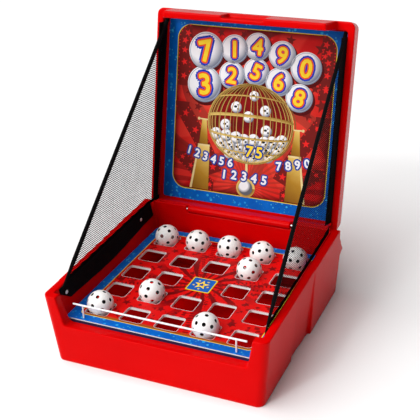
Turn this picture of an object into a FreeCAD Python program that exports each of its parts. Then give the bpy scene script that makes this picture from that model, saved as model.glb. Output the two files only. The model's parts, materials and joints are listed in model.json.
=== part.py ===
import FreeCAD, Part
import math
import os
import Sketcher

# A table-top ball toss game in a hinged carry case.  The origin is the centre of the
# case's footprint on the table, +Z is up and -Y is the side that faces the player.
# Every driving size is a cell of the sheet, in millimetres, or degrees for an angle.

DIMENSIONS = {
    # base tub, outside
    "foot_half": 164.0,        # half width of the underside, front part
    "foot_half_rear": 168.5,   # half width of the underside behind the side step
    "brim_half": 174.2,        # half width at the brim
    "foot_front": 170.3,       # underside to the front of the origin
    "foot_rear": 170.0,
    "brim_front": 177.0,
    "brim_rear": 159.8,
    "brim_low": 112.4,         # brim height at the front
    "brim_high": 119.5,        # brim height at the back
    "brim_rear_round": 5.5,    # lets the lid's face sweep past the back edge
    "front_corner": 12.0,
    "rear_corner": 8.0,
    "rest_ledge_top": 104.0,   # back wedge under the open lid
    "rest_ledge_low": 72.0,
    "rest_ledge_out": 185.0,
    "rest_ledge_foot": 69.0,
    "rest_ledge_in": 176.0,
    "step_at": 27.0,           # where the side wall steps out
    "scoop_front": -50.0,
    "scoop_depth": 3.5,
    "scoop_top": 92.0,
    # base tub, inside
    "well_half": 153.4,        # inner half width at the board
    "well_half_brim": 161.4,   # inner half width at the brim
    "well_front": 155.6,
    "well_front_brim": 163.0,
    "well_rear": 152.1,
    "pit_half": 140.0,         # hollow below the board
    "pit_floor": 12.0,
    "skin": 2.6,
    # front cut-out and shelf
    "gate_half": 143.0,
    "gate_half_brim": 152.0,
    "lip_height": 64.7,
    "gate_corner": 6.0,
    "lip_back": 172.0,
    "shelf_height": 62.6,
    "groove_height": 61.6,
    "groove_back": 152.2,
    # hinge
    "axis_back": 155.2,
    "axis_height": 113.6,
    "knuckle_radius": 6.2,
    "knuckle_half": 92.0,
    "notch_half": 92.2,
    "notch_half_brim": 95.0,
    "notch_height": 102.6,
    "sill_height": 107.0,      # just under the lid's knuckle
    "sill_deep": 12.0,
    "pin_radius": 2.0,
    "pin_inner": 76.0,
    "pin_outer": 108.0,
    "pin_clearance": 0.05,
    # lid, in its own upright frame about the hinge axis
    "lean": 11.5,
    "lid_half": 167.4,
    "lid_face": 6.2,
    "lid_back": 44.2,
    "lid_top": 332.1,
    "lid_foot": 6.2,
    "lid_draft": 3.0,
    "tray_half": 156.6,
    "tray_floor": 29.7,
    "tray_top": 318.0,
    "tray_foot": 6.4,
    "tongue_half": 139.0,
    "tongue_half_end": 134.5,
    "tongue_reach": 40.3,
    "tongue_draft": 2.5,
    "finger_half": 35.0,
    "finger_depth": 5.6,
    "finger_start": 8.0,
    # board and prints
    "board_side": 304.8,
    "board_shift": -1.0,
    "board_top": 68.5,
    "board_thick": 4.0,
    "print_thick": 0.4,
    "cell_pitch": 57.15,
    "hole_side": 36.4,
    "hole_corner": 4.6,
    "skirt_top": 66.6,
    "skirt_foot": 62.0,
    "skirt_thick": 0.9,
    "skirt_gap": 0.1,
    "label_half": 20.0,
    "panel_half": 153.4,
    "panel_thick": 2.0,
    "panel_foot": 9.0,
    "panel_top": 315.0,
    # rail
    "rail_height": 89.5,
    "rail_back": -148.0,
    "rail_half": 137.5,
    "rail_shift": -3.5,
    "rail_radius": 1.45,
    "post_half": 121.0,
    "post_radius": 1.3,
    # balls
    "ball_diameter": 40.0,
    "ball_wall": 1.6,
    "ball_hole": 2.9,
    # nets, tapes and rivets
    "hem_width": 24.0,
    "hem_thick": 0.8,
    "hem_front": 151.0,
    "hem_rear": 148.0,
    "lid_tape_front": -4.0,
    "lid_tape_rear": 24.5,
    "lid_tape_rear_low": 8.5,
    "net_half": 154.3,
    "net_thick": 0.8,
    "net_front": 140.0,
    "net_top": 309.0,
    "net_rear_low": 12.0,
    "binding_width": 8.0,
    "rivet_head": 3.3,
    "rivet_head_thick": 1.3,
    "rivet_shank": 1.5,
    "rivet_length": 6.5,
}

doc = FreeCAD.newDocument("BallTossCase")
sheet = doc.addObject("Spreadsheet::Sheet", "Sizes")
for row, (alias, number) in enumerate(DIMENSIONS.items(), start=1):
    sheet.set(f"A{row}", alias)
    sheet.set(f"B{row}", str(number))
    sheet.setAlias(f"B{row}", alias)
doc.recompute()


class Length:
    """A size worked out from the sheet: its value now, and the expression that gives it."""

    def __init__(self, text, value):
        self.text = text
        self.value = value

    def __add__(self, other):
        other = as_length(other)
        return Length(f"({self.text} + {other.text})", self.value + other.value)

    def __sub__(self, other):
        other = as_length(other)
        return Length(f"({self.text} - {other.text})", self.value - other.value)

    def __mul__(self, other):
        other = as_length(other)
        return Length(f"({self.text} * {other.text})", self.value * other.value)

    def __truediv__(self, other):
        other = as_length(other)
        return Length(f"({self.text} / {other.text})", self.value / other.value)

    def __neg__(self):
        return Length(f"(-1 * {self.text})", -self.value)

    def __rsub__(self, other):
        return as_length(other) - self

    __radd__ = __add__
    __rmul__ = __mul__


def as_length(number):
    return number if isinstance(number, Length) else Length(repr(float(number)), float(number))


def cell(alias):
    return Length(f"Sizes.{alias}", float(sheet.get(alias)))


# ---------------------------------------------------------------- building blocks

def new_body(label):
    body = doc.addObject("PartDesign::Body", label)
    body.Label = label
    return body


def origin_plane(body, role):
    return next(plane for plane in body.Origin.OriginFeatures if plane.Role == role)


def new_sketch(body, role, offset):
    """An empty sketch on one of the body's origin planes, lifted along the plane's normal."""
    sketch = body.newObject("Sketcher::SketchObject", "Sketch")
    sketch.AttachmentSupport = [(origin_plane(body, role), "")]
    sketch.MapMode = "FlatFace"
    offset = as_length(offset)
    sketch.AttachmentOffset = FreeCAD.Placement(
        FreeCAD.Vector(0, 0, offset.value), FreeCAD.Rotation())
    sketch.setExpression("AttachmentOffset.Base.z", offset.text)
    return sketch


def fix_point(sketch, geometry, point, x, y):
    """Hold one point of the sketch at two sizes measured from its origin."""
    for kind, axis, length in (("DistanceX", -2, x), ("DistanceY", -1, y)):
        if abs(length.value) < 1e-9:
            sketch.addConstraint(Sketcher.Constraint("PointOnObject", geometry, point, axis))
            continue
        index = sketch.addConstraint(
            Sketcher.Constraint(kind, -1, 1, geometry, point, length.value))
        sketch.setExpression(f"Constraints[{index}]", length.text)


def add_outline(sketch, points):
    """A closed outline of straight lines through the given points."""
    points = [(as_length(x), as_length(y)) for x, y in points]
    first = sketch.GeometryCount
    count = len(points)
    for index, (x, y) in enumerate(points):
        end_x, end_y = points[(index + 1) % count]
        sketch.addGeometry(Part.LineSegment(
            FreeCAD.Vector(x.value, y.value, 0),
            FreeCAD.Vector(end_x.value, end_y.value, 0)), False)
    for index, (x, y) in enumerate(points):
        line = first + index
        following = first + (index + 1) % count
        sketch.addConstraint(Sketcher.Constraint("Coincident", line, 2, following, 1))
        fix_point(sketch, line, 1, x, y)


def add_circle(sketch, x, y, radius):
    x, y, radius = as_length(x), as_length(y), as_length(radius)
    circle = sketch.addGeometry(Part.Circle(
        FreeCAD.Vector(x.value, y.value, 0), FreeCAD.Vector(0, 0, 1), radius.value), False)
    fix_point(sketch, circle, 3, x, y)
    index = sketch.addConstraint(Sketcher.Constraint("Radius", circle, radius.value))
    sketch.setExpression(f"Constraints[{index}]", radius.text)


def rectangle(left, right, low, high):
    return [(left, low), (right, low), (right, high), (left, high)]


def extrude(body, kind, sketch, length, symmetric=False, reverse=False):
    """A Pad or a Pocket of the sketch.  Both change the solid, or the build stops."""
    before = body.Shape.Volume if body.Tip else 0.0
    feature = body.newObject(f"PartDesign::{kind}", kind)
    feature.Profile = sketch
    feature.SideType = "Symmetric" if symmetric else "One side"
    feature.Reversed = reverse
    length = as_length(length)
    feature.Length = length.value
    feature.setExpression("Length", length.text)
    doc.recompute()
    if abs(body.Shape.Volume - before) < 1.0:
        raise RuntimeError(f"{body.Label}: {feature.Name} changes nothing")
    return feature


def shaped(body, kind, role, offset, outlines, length, symmetric=False, reverse=False):
    """A Pad or a Pocket of straight outlines on one of the body's planes."""
    sketch = new_sketch(body, role, offset)
    for outline in outlines:
        add_outline(sketch, outline)
    return extrude(body, kind, sketch, length, symmetric, reverse)


def both_sides(outline):
    """The outline and its mirror image across the sketch's upright axis."""
    mirrored = [(-as_length(x), y) for x, y in outline]
    return [outline, mirrored]


def round_edges(body, radius, wanted):
    """A fillet on every edge whose middle and direction pass the test."""
    radius = as_length(radius)
    shape = body.Tip.Shape
    names = []
    for index, edge in enumerate(shape.Edges, start=1):
        start = edge.valueAt(edge.FirstParameter)
        end = edge.valueAt(edge.LastParameter)
        middle = edge.valueAt((edge.FirstParameter + edge.LastParameter) / 2)
        if wanted(middle, end - start):
            names.append(f"Edge{index}")
    if not names:
        raise RuntimeError(f"{body.Label}: no edge to round")
    fillet = body.newObject("PartDesign::Fillet", "Fillet")
    fillet.Base = (body.Tip if body.Tip is not fillet else fillet.BaseFeature, names)
    fillet.Radius = radius.value
    fillet.setExpression("Radius", radius.text)
    doc.recompute()
    return fillet


def place(feature, x=0.0, y=0.0, z=0.0, axis=(1, 0, 0), angle=0.0):
    """Put a sub-part where sizes from the sheet say."""
    spots = {"x": as_length(x), "y": as_length(y), "z": as_length(z)}
    angle = as_length(angle)
    feature.Placement = FreeCAD.Placement(
        FreeCAD.Vector(*(spot.value for spot in spots.values())),
        FreeCAD.Rotation(FreeCAD.Vector(*axis), angle.value))
    for letter, spot in spots.items():
        feature.setExpression(f"Placement.Base.{letter}", spot.text)
    if angle.value:
        feature.setExpression("Placement.Rotation.Angle", angle.text)


def cylinder(name, radius, height):
    feature = doc.addObject("Part::Cylinder", name)
    for property_name, length in (("Radius", radius), ("Height", height)):
        length = as_length(length)
        setattr(feature, property_name, length.value)
        feature.setExpression(property_name, length.text)
    return feature


def sphere(name, radius):
    feature = doc.addObject("Part::Sphere", name)
    radius = as_length(radius)
    feature.Radius = radius.value
    feature.setExpression("Radius", radius.text)
    return feature


def cut(name, base, tool):
    feature = doc.addObject("Part::Cut", name)
    feature.Base = base
    feature.Tool = tool
    feature.Label = name
    return feature


# ---------------------------------------------------------------- base tub

BRIM_SLOPE = (cell("brim_high") - cell("brim_low")) / (cell("brim_rear") + cell("brim_front"))
WALL_SLOPE = (cell("well_half_brim") - cell("well_half")) / (cell("brim_low") - cell("board_top"))
FAR = 200.0          # well outside the case
ABOVE = 130.0        # a height above the brim


def brim_at(y):
    """Height of the sloping brim at a place along Y."""
    return cell("brim_low") + BRIM_SLOPE * (as_length(y) + cell("brim_front"))


def well_half_at(z):
    """Half width of the drafted inner wall at a height."""
    return cell("well_half") + WALL_SLOPE * (as_length(z) - cell("board_top"))


def side_profile():
    """The tub seen from the side: drafted front, sloping brim, wedge behind for the lid."""
    return [(-cell("foot_front"), 0.0), (-cell("brim_front"), cell("brim_low")),
            (cell("brim_rear"), cell("brim_high")), (cell("brim_rear"), cell("rest_ledge_top")),
            (cell("rest_ledge_out"), cell("rest_ledge_low")),
            (cell("rest_ledge_in"), cell("rest_ledge_foot")), (cell("foot_rear"), 0.0)]


def draft_sides(body):
    """Trim both side walls to their draft: more at the front than behind the step."""
    brim_line = cell("brim_half") + (cell("brim_half") - cell("foot_half")) * (
        (ABOVE - cell("brim_low")) / cell("brim_low"))
    front = [(cell("foot_half"), 0.0), (brim_line, ABOVE), (FAR, ABOVE), (FAR, 0.0)]
    rear = [(cell("foot_half_rear"), 0.0), (brim_line, ABOVE), (FAR, ABOVE), (FAR, 0.0)]
    shaped(body, "Pocket", "XZ_Plane", -cell("step_at"), both_sides(front), 2 * FAR, reverse=True)
    shaped(body, "Pocket", "XZ_Plane", -cell("step_at"), both_sides(rear), 2 * FAR)


def scoop_sides(body):
    """The shallow scoop in each side wall: deepest at its front end, gone at its top and rear."""
    rise = (cell("brim_half") - cell("foot_half")) / cell("brim_low")
    front, rear = cell("scoop_front"), cell("step_at")
    sections = []
    for height, depth in ((as_length(-1.0), cell("scoop_depth")), (cell("scoop_top"), 0.0)):
        wall = cell("foot_half") + rise * height
        sketch = new_sketch(body, "XY_Plane", height)
        add_outline(sketch, [(wall - depth, front), (FAR, front), (FAR, rear), (wall, rear)])
        sections.append(sketch)
    before = body.Shape.Volume
    loft = body.newObject("PartDesign::SubtractiveLoft", "Scoop")
    loft.Profile = sections[0]
    loft.Sections = sections[1:]
    loft.Ruled = True
    mirror = body.newObject("PartDesign::Mirrored", "OtherScoop")
    mirror.Originals = [loft]
    mirror.MirrorPlane = (origin_plane(body, "YZ_Plane"), [""])
    body.Tip = mirror
    doc.recompute()
    if before - body.Shape.Volume < 1.0:
        raise RuntimeError("base_shell: the scoops change nothing")


def hollow_well(body):
    """The play well above the board, with drafted sides, and the pit below it."""
    floor = cell("board_top") - cell("board_thick")
    side = [(well_half_at(floor), floor), (well_half_at(ABOVE), ABOVE)]
    section = [(-side[0][0], floor), side[0], side[1], (-side[1][0], ABOVE)]
    length = cell("well_front") + cell("well_rear")
    shaped(body, "Pocket", "XZ_Plane", cell("well_front"), [section], length)
    front_draft = [(-cell("well_front") + 0.5, floor), (-cell("well_front") + 0.5, ABOVE),
                   (-cell("well_front_brim"), cell("brim_low")), (-cell("well_front"), floor)]
    shaped(body, "Pocket", "YZ_Plane", 0.0, [front_draft], 2 * cell("well_half_brim"),
           symmetric=True)
    pit = rectangle(-cell("pit_half"), cell("pit_half"),
                    -cell("pit_half") + cell("board_shift"), cell("pit_half") + cell("board_shift"))
    shaped(body, "Pocket", "XY_Plane", floor + 1.0, [pit], floor + 1.0 - cell("pit_floor"))


def is_gate_corner(middle, way):
    """True on the two bottom corners of the front cut-out."""
    return (abs(abs(middle.x) - DIMENSIONS["gate_half"]) < 0.5 and abs(way.y) > 5
            and abs(middle.z - DIMENSIONS["lip_height"]) < 0.5 and middle.y < -155)


def cut_gate(body):
    """The wide cut-out in the front wall, its sloping shelf, and the groove for the skirt."""
    top = cell("gate_half_brim") + (cell("gate_half_brim") - cell("gate_half")) * (
        (ABOVE - cell("brim_low")) / (cell("brim_low") - cell("lip_height")))
    opening = [(-cell("gate_half"), cell("lip_height")), (cell("gate_half"), cell("lip_height")),
               (top, ABOVE), (-top, ABOVE)]
    shaped(body, "Pocket", "XZ_Plane", cell("groove_back"), [opening], 50.0, reverse=True)
    round_edges(body, cell("gate_corner"), is_gate_corner)
    shelf = [(-cell("lip_back"), cell("lip_height") + 1.0), (-cell("lip_back"), cell("lip_height")),
             (-cell("well_front"), cell("shelf_height")),
             (-cell("well_front"), cell("lip_height") + 1.0)]
    shaped(body, "Pocket", "YZ_Plane", 0.0, [shelf],
           2 * (cell("gate_half") - cell("gate_corner")), symmetric=True)
    groove = rectangle(-cell("well_front"), -cell("groove_back"), cell("groove_height"),
                       cell("lip_height") + 1.0)
    shaped(body, "Pocket", "YZ_Plane", 0.0, [groove], 2 * cell("well_half") - 2.0, symmetric=True)


def cut_hinge_notch(body):
    """The notch in the back wall with its sloping sill, and a bore each side for the pin."""
    spread = (cell("notch_half_brim") - cell("notch_half")) / (
        cell("brim_high") - cell("notch_height"))
    top = cell("notch_half") + spread * (ABOVE - cell("notch_height"))
    notch = [(-cell("notch_half"), cell("notch_height")), (cell("notch_half"), cell("notch_height")),
             (top, ABOVE), (-top, ABOVE)]
    shaped(body, "Pocket", "XZ_Plane", -(cell("well_rear") - 2.0), [notch], 20.0)
    back = cell("well_rear") + cell("sill_deep")
    slope = math.tan(math.radians(DIMENSIONS["lean"]))
    sill = [(cell("well_rear"), cell("notch_height") - 1.0), (cell("well_rear"), cell("sill_height")),
            (cell("axis_back") - 1.2, cell("sill_height")),
            (back, cell("sill_height") - (back - cell("axis_back") + 1.2) * slope),
            (back, cell("notch_height") - 1.0)]
    shaped(body, "Pad", "YZ_Plane", 0.0, [sill], 2 * cell("notch_half_brim"), symmetric=True)
    bore = new_sketch(body, "YZ_Plane", 0.0)
    add_circle(bore, cell("axis_back"), cell("axis_height"), cell("pin_radius"))
    extrude(body, "Pocket", bore, 2 * cell("pin_outer") + 1.0, symmetric=True)


def bore_rivets(body, spots):
    sketch = new_sketch(body, "YZ_Plane", 0.0)
    for y, z in spots:
        add_circle(sketch, y, z, cell("rivet_shank") + 0.05)
    return sketch


def hollow_walls(body):
    """The sealed air space inside the double walls and floor."""
    skin = cell("skin")
    ring_top = cell("groove_height") - skin
    outer = cell("foot_half") - cell("scoop_depth") - skin
    inner = cell("pit_half") + skin
    shift = cell("board_shift")
    ring = [rectangle(-outer, outer, -(cell("foot_front") - skin), cell("foot_rear") - skin),
            rectangle(-inner, inner, shift - inner, shift + inner)]
    shaped(body, "Pocket", "XY_Plane", skin, ring, ring_top - skin, reverse=True)
    floor = [rectangle(-inner - 1.0, inner + 1.0, shift - inner - 1.0, shift + inner + 1.0)]
    shaped(body, "Pocket", "XY_Plane", skin, floor, cell("pit_floor") - 2 * skin, reverse=True)
    under = cell("board_top") - cell("board_thick") - skin
    high = cell("brim_low") - 2 * skin
    side = [(outer - 6.0, ring_top - 3.0), (outer + 5.5, ring_top - 3.0),
            (cell("brim_half") - 1.5 * skin, high), (well_half_at(high) + skin, high),
            (well_half_at(under) + skin, under), (outer - 6.0, under)]
    shaped(body, "Pocket", "XZ_Plane", cell("well_front") - 6.0, both_sides(side), 296.0)
    wedge = [(cell("foot_rear") - 12.0, ring_top - 3.0), (cell("foot_rear") + 1.0, ring_top - 3.0),
             (cell("rest_ledge_in") - skin, cell("rest_ledge_low")),
             (cell("rest_ledge_out") - 2 * skin, cell("rest_ledge_low") + 1.5),
             (cell("brim_rear") - skin + 1.0, cell("notch_height") - skin - 1.0),
             (cell("well_rear") + skin, cell("notch_height") - skin - 1.0),
             (cell("well_rear") + skin, ring_top + 4.0)]
    shaped(body, "Pocket", "YZ_Plane", 0.0, [wedge], 2 * (cell("foot_half") - 6.0), symmetric=True)


def base_rivet_spots():
    drop = cell("hem_width") / 2 + 1.5
    front = -cell("net_front") + 3.0
    rear = Length("105", 105.0)
    return [(front, brim_at(front) - drop), (rear, brim_at(rear) - drop)]


def base_shell():
    body = new_body("base_shell")
    shaped(body, "Pad", "YZ_Plane", 0.0, [side_profile()], 2 * cell("brim_half") + 4.0,
           symmetric=True)
    draft_sides(body)
    scoop_sides(body)
    round_edges(body, cell("brim_rear_round"),
                lambda middle, way: abs(way.x) > 60 and middle.z > 119 and middle.y > 159)
    round_edges(body, cell("front_corner"),
                lambda middle, way: abs(way.z) > 60 and middle.y < -160)
    round_edges(body, cell("rear_corner"),
                lambda middle, way: abs(way.z) > 60 and middle.y > 160)
    hollow_well(body)
    cut_gate(body)
    cut_hinge_notch(body)
    sketch = bore_rivets(body, base_rivet_spots())
    extrude(body, "Pocket", sketch, 2 * (cell("well_half_brim") + 3.0), symmetric=True)
    hollow_walls(body)
    return body


# ---------------------------------------------------------------- lid

def lid_sides():
    return cell("lid_half") - cell("lid_draft")


def lid_walls(body):
    """The shallow tray, drafted on all four sides, upright about the hinge axis."""
    draft = cell("lid_draft")
    profile = [(cell("lid_face"), -cell("lid_foot")), (cell("lid_face"), cell("lid_top")),
               (cell("lid_back"), cell("lid_top") - draft), (cell("lid_back"), draft - cell("lid_foot"))]
    shaped(body, "Pad", "YZ_Plane", 0.0, [profile], 2 * cell("lid_half"), symmetric=True)
    trim = [(cell("lid_half"), cell("lid_face")), (FAR, cell("lid_face")),
            (FAR, cell("lid_back")), (lid_sides(), cell("lid_back"))]
    shaped(body, "Pocket", "XY_Plane", -20.0, both_sides(trim), 2 * FAR, reverse=True)
    corner = lambda middle, way: abs(way.y) > 30
    round_edges(body, 11.0, corner)
    back = lambda middle, way: abs(middle.y - DIMENSIONS["lid_back"]) < 0.5
    round_edges(body, 5.0, back)


def lid_tongue(body):
    """The flap along the lid's front that fills the gate, with a finger recess."""
    draft = cell("tongue_draft")
    end = -cell("tongue_reach")
    profile = [(cell("lid_face") + 2.0, cell("tray_top")), (end, cell("tray_top") + 1.0),
               (end, cell("lid_top") - draft), (cell("lid_face"), cell("lid_top")),
               (cell("lid_face") + 2.0, cell("lid_top") - 1.0)]
    shaped(body, "Pad", "YZ_Plane", 0.0, [profile], 2 * cell("tongue_half"), symmetric=True)
    trim = [(cell("tongue_half"), cell("lid_face") - 0.1), (FAR, cell("lid_face") - 0.1),
            (FAR, end - 1.0), (cell("tongue_half_end"), end - 1.0)]
    shaped(body, "Pocket", "XY_Plane", cell("tray_top") - 1.0, both_sides(trim), 20.0, reverse=True)
    finger = rectangle(-cell("finger_half"), cell("finger_half"), end - 1.0, -cell("finger_start"))
    shaped(body, "Pocket", "XY_Plane", cell("lid_top") - cell("finger_depth") - 1.0, [finger],
           20.0, reverse=True)


def lid_knuckle(body):
    """The rounded bar that turns in the base's notch, bored at each end for a pin."""
    block = rectangle(0.0, cell("lid_face") + 2.0, -cell("knuckle_radius"), cell("knuckle_radius"))
    shaped(body, "Pad", "YZ_Plane", 0.0, [block], 2 * cell("knuckle_half"), symmetric=True)
    barrel = new_sketch(body, "YZ_Plane", 0.0)
    add_circle(barrel, 0.0, 0.0, cell("knuckle_radius"))
    extrude(body, "Pad", barrel, 2 * cell("knuckle_half"), symmetric=True)
    for side in (-1, 1):
        bore = new_sketch(body, "YZ_Plane", side * (cell("pin_inner") - 2.0))
        add_circle(bore, 0.0, 0.0, cell("pin_radius") + cell("pin_clearance"))
        extrude(body, "Pocket", bore, 30.0, reverse=(side > 0))


def lid_rivet_spots():
    depth = cell("lid_face") + 13.5
    return [(depth, Length("306", 306.0))]


def hollow_lid(body):
    """The sealed air space behind the tray and round its rim."""
    skin = cell("skin")
    half = lid_sides() - skin
    low = cell("lid_draft") - cell("lid_foot") + skin
    high = cell("lid_top") - cell("lid_draft") - skin
    ring = [rectangle(-half, half, low, high),
            rectangle(-cell("tray_half") - skin, cell("tray_half") + skin,
                      cell("tray_foot") - skin, cell("tray_top") + skin)]
    start = cell("lid_face") + skin
    shaped(body, "Pocket", "XZ_Plane", -start, ring, cell("tray_floor") + skin + 1.0 - start)
    slab = [rectangle(-half, half, low, high)]
    shaped(body, "Pocket", "XZ_Plane", -(cell("tray_floor") + skin), slab,
           cell("lid_back") - cell("tray_floor") - 2 * skin)


def lid_shell():
    body = new_body("lid_shell")
    lid_walls(body)
    tray = [rectangle(-cell("tray_half"), cell("tray_half"), cell("tray_foot"), cell("tray_top"))]
    shaped(body, "Pocket", "XZ_Plane", -cell("lid_face"), tray,
           cell("tray_floor") - cell("lid_face"))
    tray_corner = lambda middle, way: abs(way.y) > 20 and abs(middle.x) < 158
    round_edges(body, 5.0, tray_corner)
    lid_tongue(body)
    lid_knuckle(body)
    sketch = bore_rivets(body, lid_rivet_spots())
    extrude(body, "Pocket", sketch, 2 * (cell("tray_half") + cell("skin") + 1.0), symmetric=True)
    hollow_lid(body)
    on_lid(body)
    return body


def on_lid(feature):
    """Stand a piece drawn about the hinge axis at the lid's open lean."""
    place(feature, 0.0, cell("axis_back"), cell("axis_height"), (1, 0, 0), -cell("lean"))


def hinge_pins():
    for side, label in ((-1, "hinge_pin_left"), (1, "hinge_pin_right")):
        pin = cylinder(label, cell("pin_radius"), cell("pin_outer") - cell("pin_inner"))
        pin.Label = label
        start = cell("pin_inner") if side > 0 else -cell("pin_outer")
        place(pin, start, cell("axis_back"), cell("axis_height"), (0, 1, 0), 90.0)


# ---------------------------------------------------------------- board and prints

def rounded_square(sketch, centre_x, centre_y, half, radius):
    """A square with round corners, held by its sides and the corner radius."""
    x, y, reach, bend = centre_x.value, centre_y.value, half.value, radius.value
    inner = reach - bend
    turns = [(1, -1), (1, 1), (-1, 1), (-1, -1)]
    first = sketch.GeometryCount
    for index, (sx, sy) in enumerate(turns):
        start_angle = math.radians(-90 + 90 * index)
        arc = Part.ArcOfCircle(
            Part.Circle(FreeCAD.Vector(x + sx * inner, y + sy * inner, 0),
                        FreeCAD.Vector(0, 0, 1), bend),
            start_angle, start_angle + math.pi / 2)
        sketch.addGeometry(arc, False)
        tx, ty = turns[(index + 1) % 4]
        along_x, along_y = (reach, inner) if index % 2 == 0 else (inner, reach)
        sketch.addGeometry(Part.LineSegment(
            FreeCAD.Vector(x + sx * along_x, y + sy * along_y, 0),
            FreeCAD.Vector(x + tx * along_x, y + ty * along_y, 0)), False)
    for index in range(4):
        arc = first + 2 * index
        line = arc + 1
        following = first + (2 * index + 2) % 8
        sketch.addConstraint(Sketcher.Constraint("Tangent", arc, 2, line, 1))
        sketch.addConstraint(Sketcher.Constraint("Tangent", line, 2, following, 1))
        sketch.addConstraint(Sketcher.Constraint("Vertical" if index % 2 == 0 else "Horizontal", line))
        if index:
            sketch.addConstraint(Sketcher.Constraint("Equal", first, arc))
    index = sketch.addConstraint(Sketcher.Constraint("Radius", first, bend))
    sketch.setExpression(f"Constraints[{index}]", radius.text)
    for kind, line, length in (("DistanceX", 1, centre_x + half), ("DistanceX", 5, centre_x - half),
                               ("DistanceY", 3, centre_y + half), ("DistanceY", 7, centre_y - half)):
        index = sketch.addConstraint(
            Sketcher.Constraint(kind, -1, 1, first + line, 1, length.value))
        sketch.setExpression(f"Constraints[{index}]", length.text)


def holed_sheet(label, low, thickness, corner):
    """A square sheet with a 5 by 5 grid of holes, closed again at the free space."""
    body = new_body(label)
    shift = cell("board_shift")
    blank = new_sketch(body, "XY_Plane", low)
    rounded_square(blank, as_length(0.0), shift, cell("board_side") / 2, as_length(corner))
    extrude(body, "Pad", blank, thickness)
    hole = new_sketch(body, "XY_Plane", low)
    reach = 2 * cell("cell_pitch")
    rounded_square(hole, -reach, shift - reach, cell("hole_side") / 2, cell("hole_corner"))
    pocket = extrude(body, "Pocket", hole, thickness, reverse=True)
    grid = body.newObject("PartDesign::LinearPattern", "Grid")
    grid.Originals = [pocket]
    grid.Direction = (hole, ["H_Axis"])
    grid.Direction2 = (hole, ["V_Axis"])
    for suffix in ("", "2"):
        setattr(grid, "Occurrences" + suffix, 5)
        setattr(grid, "Length" + suffix, 2 * reach.value)
        grid.setExpression("Length" + suffix, (2 * reach).text)
    body.Tip = grid
    doc.recompute()
    half = cell("hole_side") / 2 + 1.0
    centre = [rectangle(-half, half, shift - half, shift + half)]
    shaped(body, "Pad", "XY_Plane", low, centre, thickness)
    post_holes = new_sketch(body, "XY_Plane", low)
    for side in (-1, 1):
        add_circle(post_holes, cell("rail_shift") + side * cell("post_half"), cell("rail_back"),
                   cell("post_radius"))
    extrude(body, "Pocket", post_holes, thickness, reverse=True)
    return body


def board_pieces():
    low = cell("board_top") - cell("board_thick")
    holed_sheet("game_board", low, cell("board_thick") - cell("print_thick"), 4.0)
    holed_sheet("board_print", cell("board_top") - cell("print_thick"), cell("print_thick"), 4.0)
    skirt = new_body("board_skirt")
    face = cell("board_shift") - cell("board_side") / 2 - cell("skirt_gap")
    strip = rectangle(face - cell("skirt_thick"), face, cell("skirt_foot"), cell("skirt_top"))
    shaped(skirt, "Pad", "YZ_Plane", 0.0, [strip], cell("board_side") - 10.0, symmetric=True)
    label = new_body("free_space_label")
    half = cell("label_half")
    plate = new_sketch(label, "XY_Plane", cell("board_top"))
    rounded_square(plate, as_length(0.0), cell("board_shift"), half, as_length(2.5))
    extrude(label, "Pad", plate, cell("print_thick"))


def backdrop():
    """The printed panel on the floor of the lid's tray: a white board and its print."""
    spots = (("backdrop_panel", cell("tray_floor") - cell("panel_thick"), cell("panel_thick")),
             ("backdrop_print", cell("tray_floor") - cell("panel_thick") - cell("print_thick"),
              cell("print_thick")))
    outline = [rectangle(-cell("panel_half"), cell("panel_half"), cell("panel_foot"),
                         cell("panel_top"))]
    for label, depth, thickness in spots:
        body = new_body(label)
        shaped(body, "Pad", "XZ_Plane", -depth, outline, thickness, reverse=True)
        round_edges(body, 4.0, lambda middle, way: abs(way.x) + abs(way.z) < 1e-6)
        on_lid(body)


# ---------------------------------------------------------------- rail and balls

def ball_rail():
    """A thin rail that stops balls at the front, on two posts pressed into the board."""
    body = new_body("ball_rail")
    rod = new_sketch(body, "YZ_Plane", cell("rail_shift"))
    add_circle(rod, cell("rail_back"), cell("rail_height"), cell("rail_radius"))
    extrude(body, "Pad", rod, 2 * cell("rail_half"), symmetric=True)
    ends = lambda middle, way: abs(middle.z - DIMENSIONS["rail_height"]) < 5
    round_edges(body, 1.2, ends)
    foot = cell("board_top") - cell("board_thick")
    posts = new_sketch(body, "XY_Plane", foot)
    for side in (-1, 1):
        add_circle(posts, cell("rail_shift") + side * cell("post_half"), cell("rail_back"),
                   cell("post_radius"))
    extrude(body, "Pad", posts, cell("rail_height") - foot)


def drill_directions():
    """One way along each of the thirteen axes of a cube: faces, corners and edge middles."""
    steps = [(x, y, z) for x in (-1, 0, 1) for y in (-1, 0, 1) for z in (-1, 0, 1)]
    return [way for way in steps if way > (0, 0, 0)]


def ball_pattern():
    """The hollow skin of a ball and the thirteen drills that pierce it, shared by all balls."""
    outer = sphere("ball_outer", cell("ball_diameter") / 2)
    inner = sphere("ball_inner", cell("ball_diameter") / 2 - cell("ball_wall"))
    skin = cut("ball_skin", outer, inner)
    drills = []
    for way in drill_directions():
        drill = cylinder("drill", cell("ball_hole"), cell("ball_diameter") + 4.0)
        turn = FreeCAD.Rotation(FreeCAD.Vector(0, 0, 1), FreeCAD.Vector(*way))
        reach = cell("ball_diameter") / 2 + 2.0
        drill.Placement = FreeCAD.Placement(turn.multVec(FreeCAD.Vector(0, 0, -reach.value)), turn)
        drills.append(drill)
    tool = doc.addObject("Part::MultiFuse", "ball_drills")
    tool.Shapes = drills
    doc.recompute()
    return skin, tool


BALL_CELLS = [(1, 1), (1, 2), (1, 3), (1, 4), (1, 5), (2, 4), (4, 2), (5, 1), (5, 4)]


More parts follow.
